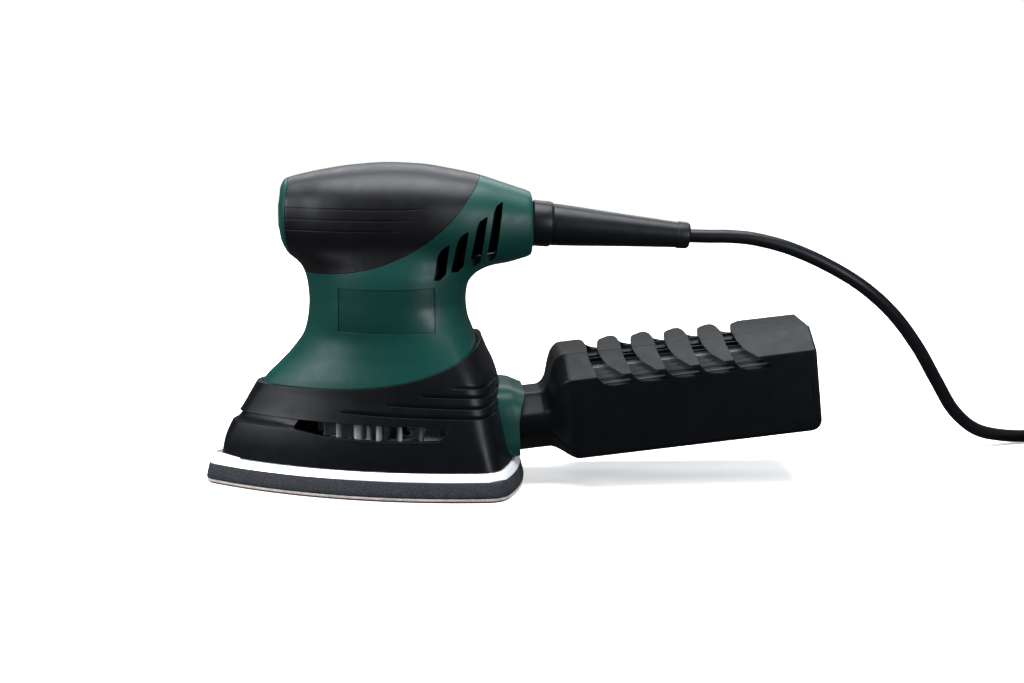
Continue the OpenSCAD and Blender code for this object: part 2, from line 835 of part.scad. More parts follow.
module base_plate() {
    color([0.93, 0.93, 0.94]) difference() {
        union() {
            plate_layer(base_inset, foam_z, base_t, dust_hole_r);
            translate([orbit_r, 0, base_z]) cylinder(r = 15, h = hub_z - base_z);
        }
        translate([orbit_r, 0, ecc_bearing_z]) cylinder(r = bearing_r, h = 20);
        translate([orbit_r, 0, 0]) cylinder(r = 7.5, h = 20);
        for (p = foot_at) translate([p[0], p[1], 0]) cylinder(r = 2.1, h = 30);
    }
}

module eccentric_bearing() {
    color("silver") translate([orbit_r, 0, ecc_bearing_z]) bearing(shaft_r, bearing_r, bearing_w);
}

module bearing_clip() {
    color([0.3, 0.3, 0.32]) translate([orbit_r, 0, 0])
        ring(bearing_r, bearing_r - 2, ecc_bearing_z + bearing_w, 0.9);
}

module foot_inserts() {
    color("silver") at_each([for (p = foot_at) [p[0], p[1], base_z]]) difference() {
        cylinder(r = foot_r, h = foot_z - base_z);
        translate([0, 0, -1]) cylinder(r = 1.6, h = 4.2);
    }
}

module foot_screws() {
    color("silver") at_each([for (p = foot_at) [p[0], p[1], foam_z]]) {
        translate([0, 0, -2]) cylinder(r = 3.6, h = 2);
        cylinder(r = 1.6, h = base_t + 3.2);
    }
}

module foam_pad() {
    color([0.1, 0.1, 0.11]) difference() {
        plate_layer(0, hook_z, foam_t, dust_hole_r);
        translate([orbit_r, 0, 0]) cylinder(r = 8.5, h = 20);
        for (p = foot_at) translate([p[0], p[1], 0]) cylinder(r = 4.2, h = 20);
    }
}

module hook_layer() {
    color([0.75, 0.72, 0.68]) plate_layer(0.3, sheet_t, hook_z - sheet_t, dust_hole_r);
}

module sanding_sheet() {
    color([0.45, 0.18, 0.12]) plate_layer(0, 0, sheet_t, dust_hole_r);
}

// ---------- dust box ----------

module box_outline(t) {
    k = t * 0.42;
    polygon([
        [t - box_hw, k - 12], [t - box_hw, 21.6 - k], [k - 16, 30.5 - t], [16 - k, 30.5 - t],
        [box_hw - t, 21.6 - k], [box_hw - t, k - 12],
        [box_hw - 3.5 - k, t - 15.6], [3.5 + k - box_hw, t - 15.6]
    ]);
}

module box_slot(u) {
    across(80) polygon([
        [u, 34], [u, 29.5], [u + 0.5, 26.5], [u + 1.5, 23.4], [u + 2.6, 20.2], [u + 4.9, 17.2],
        [u + 7.6, 15.9], [u + 13.8, 15.6], [u + 18.5, 16.5], [u + 14.2, 19.8], [u + 8.3, 24.1],
        [u + 5.2, 28.7], [u + 4.5, 30.5], [u + 4.5, 34]
    ]);
}

module box_front_loft(t) {
    hull() {
        along(11.5, 12) neck_outline(t);
        along(box_front, box_front + 1) box_outline(t);
    }
}

// Across the box at its door's hinge
module at_hinge() {
    translate([door_hinge[0], 0, door_hinge[1]]) rotate([90, 0, 0]) children();
}

// Bars where the box's two hinge lugs stand
module hinge_lugs(from, to, half, low, high) {
    for (v = [-lug_v, lug_v])
        along(from, to) polygon([[v - half, low], [v - half, high], [v + half, high], [v + half, low]]);
}

module dust_box_shell() {
    color([0.07, 0.08, 0.09]) outlet_frame() difference() {
        union() {
            box_walls();
            hinge_lugs(118, 131, lug_w, -13.7, -9.4);
        }
        at_hinge() cylinder(r = 1.02, h = 80, center = true);
    }
}

module box_walls() {
    difference() {
        union() {
            along(box_front, box_l) box_outline(0);
            box_front_loft(0);
            along(0, 12) neck_outline(0);
            along(-spigot_l, 0) neck_outline(2.7);
        }
        along(box_front, box_l - box_t) box_outline(box_t);
        box_front_loft(box_t);
        along(-spigot_l - 1, 12) neck_outline(4.6);
        for (i = [0:slot_count - 1]) box_slot(slot_first + slot_pitch * i);
        // Room for the rear door, its lip under the box and its hinge
        along(box_l - 3.4, box_l + 1) polygon([[-30, -20], [-30, door_top], [30, door_top], [30, -20]]);
        along(125.5, box_l + 1) polygon([[-30, -20], [-30, -8.6], [30, -8.6], [30, -20]]);
        at_hinge() cylinder(r = door_swing_r, h = 80, center = true);
    }
}

module spigot_seal() {
    color([0.25, 0.25, 0.26]) outlet_frame() difference() {
        along(-7, -4) neck_outline(2.42);
        along(-8, -3) neck_outline(2.68);
    }
}

// Folded filter paper, its pleats running along the box
module filter_pleats() {
    count = 10;
    pitch = 4.4;
    top = [for (i = [-count:count]) [i * pitch / 2, fold_w(i)]];
    under = [for (i = [count:-1:-count]) [i * pitch / 2, fold_w(i) - 1.2]];
    color([0.72, 0.72, 0.7]) outlet_frame() along(filter_from + 2, filter_to - 2) polygon(concat(top, under));
}

// Height of the fold line: every other line is down, and the outer ones follow the lid's slope
function fold_w(i) = max(19.4, (abs(i) > 7 ? 25.4 - (abs(i) - 7) * 1.3 : 27) - (abs(i) % 2) * 5);

module filter_frame() {
    color([0.1, 0.1, 0.11]) outlet_frame() {
        difference() {
            along(filter_from, filter_to) polygon([[-25.5, 15.5], [-25.5, 18], [25.5, 18], [25.5, 15.5]]);
            along(filter_from + 4, filter_to - 4) polygon([[-21, 14], [-21, 19], [21, 19], [21, 14]]);
        }
        for (u = [filter_from, filter_to - 1.8])
            along(u, u + 1.8)
                polygon([[-22.4, 17.9], [-22.4, 22], [-15.2, 28], [15.2, 28], [22.4, 22], [22.4, 17.9]]);
    }
}

module dust_door() {
    color([0.08, 0.09, 0.1]) outlet_frame() difference() {
        union() {
            along(box_l - 3.2, box_l) polygon([
                [-box_hw, -12], [-box_hw, door_top - 0.2], [box_hw, door_top - 0.2], [box_hw, -12],
                [box_hw - 3.5, -15.6], [3.5 - box_hw, -15.6]
            ]);
            along(125.7, box_l - 3) polygon([
                [-box_hw, -12], [-box_hw, -8.8], [2 - box_hw, -8.8],
                [2 - box_hw, -11.2], [4.2 - box_hw, -13.6],
                [box_hw - 4.2, -13.6], [box_hw - 2, -11.2], [box_hw - 2, -8.8], [box_hw, -8.8], [box_hw, -12],
                [box_hw - 3.5, -15.6], [3.5 - box_hw, -15.6]
            ]);
            // Plug that fills the opening, and its hinge barrel
            along(box_l - 6, box_l - 3)
                polygon([[-24, -6], [-24, door_top - 2.4], [24, door_top - 2.4], [24, -6]]);
            at_hinge() cylinder(r = 2.2, h = 20, center = true);
        }
        at_hinge() cylinder(r = 1.05, h = 80, center = true);
        hinge_lugs(125, 131.7, lug_w + 0.4, -16, -8);
    }
}

module door_pin() {
    color("silver") outlet_frame() at_hinge() cylinder(r = 1, h = 2 * box_hw - 5, center = true);
}

housing_left();
housing_right();
grip_left();
grip_right();
front_cap();
name_plate();
housing_screws();
skirt();
skirt_screws();
exhaust_collar();
switch_body();
rocker();
stator_core();
field_coils();
bearing_bridge();
lower_bearing();
upper_bearing();
bearing_bush();
brush_carrier();
brush_holders();
carbon_brushes();
brush_springs();
suppressor();
terminal_block();
cord_clamp();
clamp_screws();
strain_relief();
cord_tube();
cord_coil();
cord_tail();
plug_body();
plug_pins();
flex_feet();
shaft();
armature_core();
armature_winding();
commutator();
fan();
eccentric();
pad_screw();
base_plate();
eccentric_bearing();
bearing_clip();
foot_inserts();
foot_screws();
foam_pad();
hook_layer();
sanding_sheet();
dust_box_shell();
spigot_seal();
filter_pleats();
filter_frame();
dust_door();
door_pin();
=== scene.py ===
"""Detail mouse sander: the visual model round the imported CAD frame. All drawing is in millimetres."""

import math

import bpy
import numpy as np
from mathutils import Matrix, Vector


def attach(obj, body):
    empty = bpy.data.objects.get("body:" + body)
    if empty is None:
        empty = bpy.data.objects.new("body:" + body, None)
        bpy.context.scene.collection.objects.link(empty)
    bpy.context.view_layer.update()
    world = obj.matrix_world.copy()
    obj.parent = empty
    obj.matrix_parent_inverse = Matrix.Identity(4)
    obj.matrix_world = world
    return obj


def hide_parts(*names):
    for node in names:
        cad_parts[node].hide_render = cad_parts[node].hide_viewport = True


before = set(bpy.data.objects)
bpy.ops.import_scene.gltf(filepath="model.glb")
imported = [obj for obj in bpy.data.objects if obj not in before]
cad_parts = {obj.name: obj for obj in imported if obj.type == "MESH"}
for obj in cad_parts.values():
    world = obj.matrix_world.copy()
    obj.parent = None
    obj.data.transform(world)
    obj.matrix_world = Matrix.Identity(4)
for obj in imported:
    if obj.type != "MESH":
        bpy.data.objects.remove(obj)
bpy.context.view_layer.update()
MM = 0.001

# ---------------------------------------------------------------- camera, floor and light
CAMERA_AT = (-4.88, -882.77, 227.76)
CAMERA_TO = (56.85, 0, 63.75)
LENS, SENSOR = 68.34, 36


def aim(obj, at, to):
    obj.location = Vector(at) * MM
    obj.rotation_euler = (Vector(to) - Vector(at)).to_track_quat("-Z", "Y").to_euler()


def add(obj):
    bpy.context.scene.collection.objects.link(obj)
    return obj


camera = add(bpy.data.objects.new("camera", bpy.data.cameras.new("camera")))
camera.data.lens = LENS
camera.data.sensor_width = SENSOR
aim(camera, CAMERA_AT, CAMERA_TO)
bpy.context.scene.camera = camera


COOL = (0.93, 0.965, 1.0)


def area_light(name, at, to, size, power):
    data = bpy.data.lights.new(name, "AREA")
    data.shape = "RECTANGLE"
    data.size, data.size_y = size[0] * MM, size[1] * MM
    data.energy = power
    data.color = COOL
    aim(add(bpy.data.objects.new(name, data)), at, to)


area_light("light_top", (60, 20, 950), (60, 20, 0), (950, 640), 29)
area_light("light_left", (-850, -400, 470), (-20, 0, 70), (460, 560), 13)
area_light("light_right", (740, -760, 300), (90, 0, 90), (300, 460), 8)
area_light("light_back", (60, 800, 620), (60, 0, 90), (1100, 300), 5)

# A white world to the camera, and a dim one to everything else
WORLD_LIGHT, WORLD_SEEN = 0.1, 1.0
world = bpy.data.worlds.new("studio")
bpy.context.scene.world = world
world.use_nodes = True
world_nodes, world_links = world.node_tree.nodes, world.node_tree.links
world_nodes["Background"].inputs["Color"].default_value = (1, 1, 1, 1)
seen = world_nodes.new("ShaderNodeLightPath")
level = world_nodes.new("ShaderNodeMapRange")
level.inputs["To Min"].default_value = WORLD_LIGHT
level.inputs["To Max"].default_value = WORLD_SEEN
world_links.new(seen.outputs["Is Camera Ray"], level.inputs["Value"])
world_links.new(level.outputs["Result"], world_nodes["Background"].inputs["Strength"])
bpy.context.scene.view_settings.view_transform = "Standard"

# ---------------------------------------------------------------- materials


def node_material(name):
    """(material, its nodes, a linker, its shader, object coordinates in metres)"""
    mat = bpy.data.materials.new(name)
    mat.use_nodes = True
    nodes, links = mat.node_tree.nodes, mat.node_tree.links
    coords = nodes.new("ShaderNodeTexCoord").outputs["Object"]
    return mat, nodes, links, nodes["Principled BSDF"], coords


def noise(nodes, links, coords, size_mm, detail=2.0, stretch=(1, 1, 1)):
    """A noise whose features are about size_mm across, longer by stretch along each axis"""
    tex = nodes.new("ShaderNodeTexNoise")
    tex.inputs["Scale"].default_value = 1 / (size_mm * MM)
    tex.inputs["Detail"].default_value = detail
    if stretch != (1, 1, 1):
        mapping = nodes.new("ShaderNodeMapping")
        mapping.inputs["Scale"].default_value = [1 / s for s in stretch]
        links.new(coords, mapping.inputs["Vector"])
        coords = mapping.outputs["Vector"]
    links.new(coords, tex.inputs["Vector"])
    return tex.outputs["Fac"]


def between(nodes, links, value, low, high):
    ranged = nodes.new("ShaderNodeMapRange")
    ranged.inputs["From Min"].default_value = 0.3
    ranged.inputs["From Max"].default_value = 0.7
    ranged.inputs["To Min"].default_value = low
    ranged.inputs["To Max"].default_value = high
    links.new(value, ranged.inputs["Value"])
    return ranged.outputs["Result"]


def tint(nodes, links, value, dark, light):
    mix = nodes.new("ShaderNodeMix")
    mix.data_type = "RGBA"
    mix.inputs[6].default_value = (*dark, 1)
    mix.inputs[7].default_value = (*light, 1)
    links.new(value, mix.inputs["Factor"])
    return mix.outputs[2]


def bumps(nodes, links, shader, layers, edge_mm):
    """Rounds edges by edge_mm in the shading, then adds (height, depth in mm) layers"""
    normal = None
    if edge_mm:
        bevel = nodes.new("ShaderNodeBevel")
        bevel.samples = 4
        bevel.inputs["Radius"].default_value = edge_mm * MM
        normal = bevel.outputs["Normal"]
    for height, depth_mm in layers:
        bump = nodes.new("ShaderNodeBump")
        bump.inputs["Distance"].default_value = depth_mm * MM
        bump.inputs["Strength"].default_value = 1.0
        links.new(height, bump.inputs["Height"])
        if normal is not None:
            links.new(normal, bump.inputs["Normal"])
        normal = bump.outputs["Normal"]
    if normal is not None:
        links.new(normal, shader.inputs["Normal"])


def surface(
    name, color, rough, metal=0.0, specular=0.5, grain=(0.35, 0.004), vary=0.12, edge=0.3,
    coat=0.0, sheen=0.0, stretch=(1, 1, 1), scuffs=0.0,
):
    """Moulded, cast or rolled stuff: a fine grain in the normal, slow changes of colour and roughness"""
    mat, nodes, links, shader, coords = node_material(name)
    slow = between(nodes, links, noise(nodes, links, coords, 23, 3), 0, 1)
    dark = [c * (1 - vary) for c in color]
    light = [min(1, c * (1 + vary)) for c in color]
    links.new(tint(nodes, links, slow, dark, light), shader.inputs["Base Color"])
    patch = noise(nodes, links, coords, 6, 4, stretch)
    links.new(between(nodes, links, patch, rough * 0.88, min(1, rough * 1.12)), shader.inputs["Roughness"])
    shader.inputs["Metallic"].default_value = metal
    shader.inputs["Specular IOR Level"].default_value = specular
    if coat:
        shader.inputs["Coat Weight"].default_value = coat
        shader.inputs["Coat Roughness"].default_value = 0.12
    if sheen:
        shader.inputs["Sheen Weight"].default_value = sheen
        shader.inputs["Sheen Roughness"].default_value = 0.45
    layers = [(noise(nodes, links, coords, grain[0], 2, stretch), grain[1])]
    if scuffs:
        layers.append((noise(nodes, links, coords, 1.6, 5, (9, 1, 1)), scuffs))
    bumps(nodes, links, shader, layers, edge)
    return mat


def cells(nodes, links, coords, size_mm):
    tex = nodes.new("ShaderNodeTexVoronoi")
    tex.inputs["Scale"].default_value = 1 / (size_mm * MM)
    links.new(coords, tex.inputs["Vector"])
    return tex.outputs["Distance"]


def cellular(name, dark, light, size_mm, depth_mm, rough, fuzz=0.0, edge=0.4):
    """Foam, grit or loop pile: small cells in colour and normal over a slow mottle"""
    mat, nodes, links, shader, coords = node_material(name)
    cell = cells(nodes, links, coords, size_mm)
    slow = noise(nodes, links, coords, size_mm * 9, 4)
    both = nodes.new("ShaderNodeMath")
    both.operation = "MULTIPLY"
    links.new(cell, both.inputs[0])
    links.new(slow, both.inputs[1])
    gain = nodes.new("ShaderNodeMath")
    gain.operation = "MULTIPLY"
    gain.inputs[1].default_value = 2.6
    gain.use_clamp = True
    links.new(both.outputs[0], gain.inputs[0])
    links.new(tint(nodes, links, gain.outputs[0], dark, light), shader.inputs["Base Color"])
    links.new(between(nodes, links, slow, rough * 0.9, min(1, rough * 1.1)), shader.inputs["Roughness"])
    shader.inputs["Specular IOR Level"].default_value = 0.25
    if fuzz:
        shader.inputs["Sheen Weight"].default_value = fuzz
        shader.inputs["Sheen Roughness"].default_value = 0.6
    bumps(nodes, links, shader, [(slow, depth_mm * 2), (cell, depth_mm)], edge)
    return mat


WAVE_RATE = 20  # radians of the wave texture for each unit of its scaled coordinate


def striped(name, dark, light, pitch_mm, depth_mm, axis, rough, metal):
    """Wound wire or stacked sheets: dark and light lines across one axis, each about pitch_mm wide"""
    mat, nodes, links, shader, coords = node_material(name)
    wave = nodes.new("ShaderNodeTexWave")
    wave.wave_type = "BANDS"
    wave.bands_direction = axis
    wave.wave_profile = "SIN"
    wave.inputs["Scale"].default_value = math.pi / (WAVE_RATE * pitch_mm * MM)
    wave.inputs["Distortion"].default_value = 0.35
    wave.inputs["Detail Scale"].default_value = 1.5
    links.new(coords, wave.inputs["Vector"])
    links.new(tint(nodes, links, wave.outputs["Fac"], dark, light), shader.inputs["Base Color"])
    patch = noise(nodes, links, coords, 3, 3)
    links.new(between(nodes, links, patch, rough * 0.85, min(1, rough * 1.15)), shader.inputs["Roughness"])
    shader.inputs["Metallic"].default_value = metal
    bumps(nodes, links, shader, [(wave.outputs["Fac"], depth_mm), (patch, depth_mm * 0.3)], 0.2)
    return mat


GREEN = (0.004, 0.038, 0.031)
M = {
    "green": surface("green_plastic", GREEN, 0.4, specular=0.15, grain=(0.42, 0.006), vary=0.05),
    "panel": surface(
        "panel_film", [c * 0.75 for c in GREEN], 0.34, specular=0.16, grain=(0.3, 0.003), vary=0.04, edge=0.1
    ),
    "grip": surface("soft_grip", (0.0035, 0.0035, 0.0045), 0.42, specular=0.2, grain=(0.3, 0.008), vary=0.1),
    "black": surface(
        "black_plastic", (0.003, 0.0035, 0.0045), 0.35, specular=0.13, grain=(0.45, 0.006), vary=0.1
    ),
    "box": surface("box_plastic", (0.002, 0.0026, 0.0034), 0.38, specular=0.09, grain=(0.4, 0.007)),
    "cord": surface(
        "cord_rubber", (0.004, 0.0045, 0.006), 0.38, specular=0.16, grain=(0.5, 0.006), vary=0.15
    ),
    "rubber": surface("black_rubber", (0.016, 0.016, 0.017), 0.7, specular=0.3, grain=(0.4, 0.01), vary=0.2),
    "steel": surface(
        "zinc_steel", (0.58, 0.59, 0.61), 0.32, metal=1, grain=(0.25, 0.003), vary=0.08, edge=0.12,
        scuffs=0.004,
    ),
    "ground": surface(
        "ground_steel", (0.62, 0.62, 0.63), 0.22, metal=1, grain=(0.12, 0.002), vary=0.05, edge=0.15,
        stretch=(8, 8, 1),
    ),
    "nickel": surface("nickel_pins", (0.72, 0.7, 0.66), 0.18, metal=1, grain=(0.2, 0.001), vary=0.04),
    "plate": surface(
        "plate_aluminium", (0.86, 0.87, 0.9), 0.3, metal=0.35, specular=0.5, grain=(0.2, 0.003), vary=0.03,
        stretch=(12, 12, 1), edge=0.25,
    ),
    "zinc": surface("cast_zinc", (0.4, 0.41, 0.43), 0.5, metal=1, grain=(0.6, 0.02), vary=0.15, edge=0.4),
    "brass": surface("brass", (0.72, 0.5, 0.2), 0.3, metal=1, grain=(0.25, 0.003), vary=0.1, edge=0.15),
    "phenolic": surface(
        "phenolic_board", (0.13, 0.06, 0.025), 0.45, grain=(0.5, 0.01), vary=0.25, stretch=(4, 1, 1)
    ),
    "carbon": surface("carbon", (0.02, 0.02, 0.021), 0.6, grain=(0.15, 0.006), vary=0.3),
    "capacitor": surface("capacitor_case", (0.55, 0.36, 0.05), 0.3, grain=(0.8, 0.004), vary=0.06, coat=0.3),
    "ivory": surface("terminal_plastic", (0.72, 0.7, 0.6), 0.4, grain=(0.4, 0.004), vary=0.05),
    "fan": surface(
        "fan_plastic", (0.3, 0.32, 0.33), 0.5, specular=0.25, grain=(0.4, 0.006), vary=0.06, edge=0.2
    ),
    "foam": cellular("foam_black", (0.006, 0.0065, 0.008), (0.026, 0.028, 0.034), 0.8, 0.12, 0.75),
    "hook": cellular("hook_layer", (0.2, 0.16, 0.15), (0.6, 0.54, 0.5), 0.4, 0.12, 0.9, fuzz=0.4, edge=0.1),
    "grit": cellular("abrasive", (0.08, 0.02, 0.014), (0.26, 0.09, 0.06), 0.35, 0.1, 0.8, edge=0.1),
    "paper": surface(
        "filter_paper", (0.085, 0.089, 0.094), 0.8, specular=0.2, grain=(0.35, 0.03), vary=0.3, edge=0.2,
        stretch=(9, 1, 1),
    ),
    "lamination": striped("laminations", (0.2, 0.2, 0.21), (0.5, 0.5, 0.52), 0.5, 0.05, "Z", 0.45, metal=1),
    "winding": striped("copper_wire", (0.28, 0.09, 0.03), (0.78, 0.34, 0.13), 0.7, 0.15, "Z", 0.32, metal=1),
    "copper": striped(
        "commutator_copper", (0.5, 0.22, 0.1), (0.85, 0.45, 0.22), 0.35, 0.01, "Z", 0.28, metal=1
    ),
}

floor_mat, floor_nodes, floor_links, floor_shader, floor_coords = node_material("floor_paper")
floor_shader.inputs["Roughness"].default_value = 0.9
floor_shader.inputs["Specular IOR Level"].default_value = 0.1
floor_shader.inputs["Emission Color"].default_value = (1, 1, 1, 1)
floor_shader.inputs["Emission Strength"].default_value = 0.4
mottle = noise(floor_nodes, floor_links, floor_coords, 40, 2)
floor_color = tint(floor_nodes, floor_links, mottle, (0.9, 0.9, 0.9), (0.93, 0.93, 0.93))
floor_links.new(floor_color, floor_shader.inputs["Base Color"])

# ---------------------------------------------------------------- mesh tools


def mesh_object(name, points, faces):
    mesh = bpy.data.meshes.new(name)
    mesh.from_pydata((np.asarray(points, float) * MM).tolist(), [], [list(f) for f in faces])
    mesh.update()
    return add(bpy.data.objects.new(name, mesh))


def drop(*objects):
    for obj in objects:
        bpy.data.objects.remove(obj)


def boolean(obj, tool, how="DIFFERENCE", keep=False):
    modifier = obj.modifiers.new("cut", "BOOLEAN")
    modifier.operation = how
    modifier.solver = "MANIFOLD"
    modifier.object = tool
    graph = bpy.context.evaluated_depsgraph_get()
    mesh = bpy.data.meshes.new_from_object(obj.evaluated_get(graph))
    obj.modifiers.clear()
    old, obj.data = obj.data, mesh
    bpy.data.meshes.remove(old)
    if not keep:
        drop(tool)
    return obj


def copy_of(obj, name):
    return add(bpy.data.objects.new(name, obj.data.copy()))


def piece(obj, name, material, body, replaces=(), angle=28):
    """Names and finishes a mesh, and hangs it on its body"""
    obj.name = name
    obj.data.name = name
    obj.data.materials.clear()
    obj.data.materials.append(M[material])
    if obj.type == "MESH":
        obj.data.shade_smooth()
        obj.data.set_sharp_from_angle(angle=math.radians(angle))
    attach(obj, body)
    if replaces:
        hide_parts(*replaces)
    return obj


def loft(name, rings, closed=False):
    """A skin through rings of equal length; closed joins the last to the first, or else both ends get caps"""
    rings = [np.asarray(r, float) for r in rings]
    n, m = len(rings[0]), len(rings)
    faces = []
    for k in range(m if closed else m - 1):
        a, b = k * n, (k + 1) % m * n
        faces += [(a + i, a + (i + 1) % n, b + (i + 1) % n, b + i) for i in range(n)]
    if not closed:
        faces += [tuple(range(n - 1, -1, -1)), tuple(range((m - 1) * n, m * n))]
    obj = mesh_object(name, np.concatenate(rings), faces)
    outward(obj)
    return obj


def outward(obj):
    """Turns all faces out if the mesh's volume is negative"""
    mesh = obj.data
    mesh.calc_loop_triangles()
    v = np.empty(len(mesh.vertices) * 3)
    mesh.vertices.foreach_get("co", v)
    t = np.empty(len(mesh.loop_triangles) * 3, int)
    mesh.loop_triangles.foreach_get("vertices", t)
    v, t = v.reshape(-1, 3), t.reshape(-1, 3)
    v = v - v.mean(0)
    if (v[t[:, 0]] * np.cross(v[t[:, 1]], v[t[:, 2]])).sum() < 0:
        mesh.flip_normals()


def prism(name, outline, place):
    """A closed outline swept between two places: place(p, 0) and place(p, 1) give 3-D points"""
    return loft(name, [[place(p, end) for p in outline] for end in (0, 1)])


def prism_y(name, outline, y0, y1):
    return prism(name, outline, lambda p, end: (p[0], y1 if end else y0, p[1]))


def box_mesh(name, lo, hi):
    return prism_y(name, [(lo[0], lo[2]), (hi[0], lo[2]), (hi[0], hi[2]), (lo[0], hi[2])], lo[1], hi[1])


def rod(name, at, axis, radius, length, sides=48):
    """A cylinder from at, along a unit axis"""
    axis = np.asarray(axis, float)
    side = np.cross(axis, (0, 0, 1) if abs(axis[2]) < 0.9 else (1, 0, 0))
    side /= np.linalg.norm(side)
    up = np.cross(axis, side)
    circle = [radius * (math.cos(a) * side + math.sin(a) * up) for a in np.arange(sides) * math.tau / sides]
    return loft(name, [[np.asarray(at) + c + axis * d for c in circle] for d in (0, length)])


def lathe(name, profile, place, sides, closed=False):
    """(along, radius) pairs turned about the first axis, then placed"""
    turn = [(math.cos(a), math.sin(a)) for a in np.arange(sides) * math.tau / sides]
    return loft(name, [[place((along, r * c, r * s)) for c, s in turn] for along, r in profile], closed)


def steady(x, y, at):
    """Cubic interpolation that never overshoots (Fritsch and Carlson)"""
    x, y, at = np.asarray(x, float), np.asarray(y, float), np.asarray(at, float)
    h = np.diff(x)
    d = np.diff(y) / h
    m = np.zeros(len(x))
    m[0], m[-1] = d[0], d[-1]
    same = d[:-1] * d[1:] > 0
    w1, w2 = 2 * h[1:] + h[:-1], h[1:] + 2 * h[:-1]
    safe = np.where(same, d[:-1], 1), np.where(same, d[1:], 1)
    m[1:-1] = np.where(same, (w1 + w2) / (w1 / safe[0] + w2 / safe[1]), 0)
    k = np.clip(np.searchsorted(x, at) - 1, 0, len(h) - 1)
    t = (at - x[k]) / h[k]
    return (
        (2 * t**3 - 3 * t**2 + 1) * y[k] + (t**3 - 2 * t**2 + t) * h[k] * m[k]
        + (3 * t**2 - 2 * t**3) * y[k + 1] + (t**3 - t**2) * h[k] * m[k + 1]
    )


def sections(table, at):
    """Rows of a table of sections, smoothly between its own rows"""
    table = np.asarray(table, float)
    return np.stack([steady(table[:, 0], table[:, c], at) for c in range(table.shape[1])], 1)


def arc(centre, radius, a0, a1, n):
    a = np.linspace(a0, a1, n + 1)
    return np.stack([centre[0] + radius * np.cos(a), centre[1] + radius * np.sin(a)], 1)


# Points on the tip, side, corner and rear of half an outline
IRON_COUNTS = (10, 40, 12, 14)


def half_iron(s, counts=IRON_COUNTS):
    """Half of an iron's outline, from its tip to the middle of its rear, as in the CAD source"""
    _, front, rear, half, tip_r, corner_r, wide_x, rear_r = s
    d = wide_x - front - tip_r
    side_r = (d * d + half * half - tip_r * tip_r) / (2 * (half - tip_r))
    side_c = np.array([wide_x, half - side_r])
    tip_c = np.array([front + tip_r, 0.0])
    rear_c = np.array([rear - rear_r, 0.0])
    r1, r2 = side_r - corner_r, rear_r - corner_r
    gap = np.linalg.norm(rear_c - side_c)
    u = (rear_c - side_c) / gap
    a = (r1 * r1 - r2 * r2 + gap * gap) / (2 * gap)
    h = math.sqrt(max(0, r1 * r1 - a * a))
    corner_c = max(
        (side_c + a * u + sign * h * np.array([-u[1], u[0]]) for sign in (1, -1)), key=lambda p: p.sum()
    )
    angle = lambda v: math.atan2(v[1], v[0])
    a_tip, a_side, a_rear = angle(tip_c - side_c), angle(corner_c - side_c), angle(corner_c - rear_c)
    return np.concatenate([
        arc(tip_c, tip_r, math.pi, a_tip, counts[0]),
        arc(side_c, side_r, a_tip, a_side, counts[1])[1:],
        arc(corner_c, corner_r, a_side, a_rear, counts[2])[1:],
        arc(rear_c, rear_r, a_rear, 0, counts[3])[1:],
    ])


def whole(half):
    """A closed outline from its half, which starts and ends on the middle plane"""
    return np.concatenate([half, half[-2:0:-1] * [1, -1]])


def inset(s, t):
    s = np.array(s, float)
    return s + np.array([0, t, -t, -t, -t, -t, 0, -t])


def iron_ring(s, counts=IRON_COUNTS):
    return [(x, y, s[0]) for x, y in whole(half_iron(s, counts))]


def bezier(p, n):
    t = np.linspace(0, 1, n + 1)[:, None]
    p = np.asarray(p, float)
    return (1 - t) ** 3 * p[0] + 3 * (1 - t) ** 2 * t * p[1] + 3 * (1 - t) * t**2 * p[2] + t**3 * p[3]


def catmull_rom(line, steps):
    """A curve from the second point of a line to its last but one, which is left out"""
    return [
        0.5 * (2 * b + (c - a) * t + (2 * a - 5 * b + 4 * c - d) * t**2 + (3 * b - a - 3 * c + d) * t**3)
        for a, b, c, d in zip(line, line[1:], line[2:], line[3:])
        for t in np.arange(steps) / steps
    ]


def smooth(points, steps):
    """Catmull-Rom through the points, as in the CAD source"""
    p = np.asarray(points, float)
    return np.array(catmull_rom([p[0], *p, p[-1]], steps) + [p[-1]])


def closed_curve(points, steps):
    """Catmull-Rom round a closed outline"""
    p = np.asarray(points, float)
    return np.array(catmull_rom([p[-1], *p, p[0], p[1]], steps))


def rounded(corners, radii, steps=6):
    """A polygon with each corner turned by an arc-like curve"""
    corners = np.asarray(corners, float)
    n = len(corners)
    radii = [radii] * n if np.isscalar(radii) else radii
    out = []
    for i in range(n):
        p, a, b = corners[i], corners[i - 1], corners[(i + 1) % n]
        da, db = a - p, b - p
        la, lb = np.linalg.norm(da), np.linalg.norm(db)
        cosine = np.clip(da @ db / (la * lb), -1, 1)
        reach = min(radii[i] / math.tan(math.acos(cosine) / 2), la * 0.45, lb * 0.45)
        p0, p2 = p + da / la * reach, p + db / lb * reach
        for t in np.linspace(0, 1, steps + 1):
            out.append((1 - t) ** 2 * p0 + 2 * (1 - t) * t * p + t**2 * p2)
    return np.array(out)


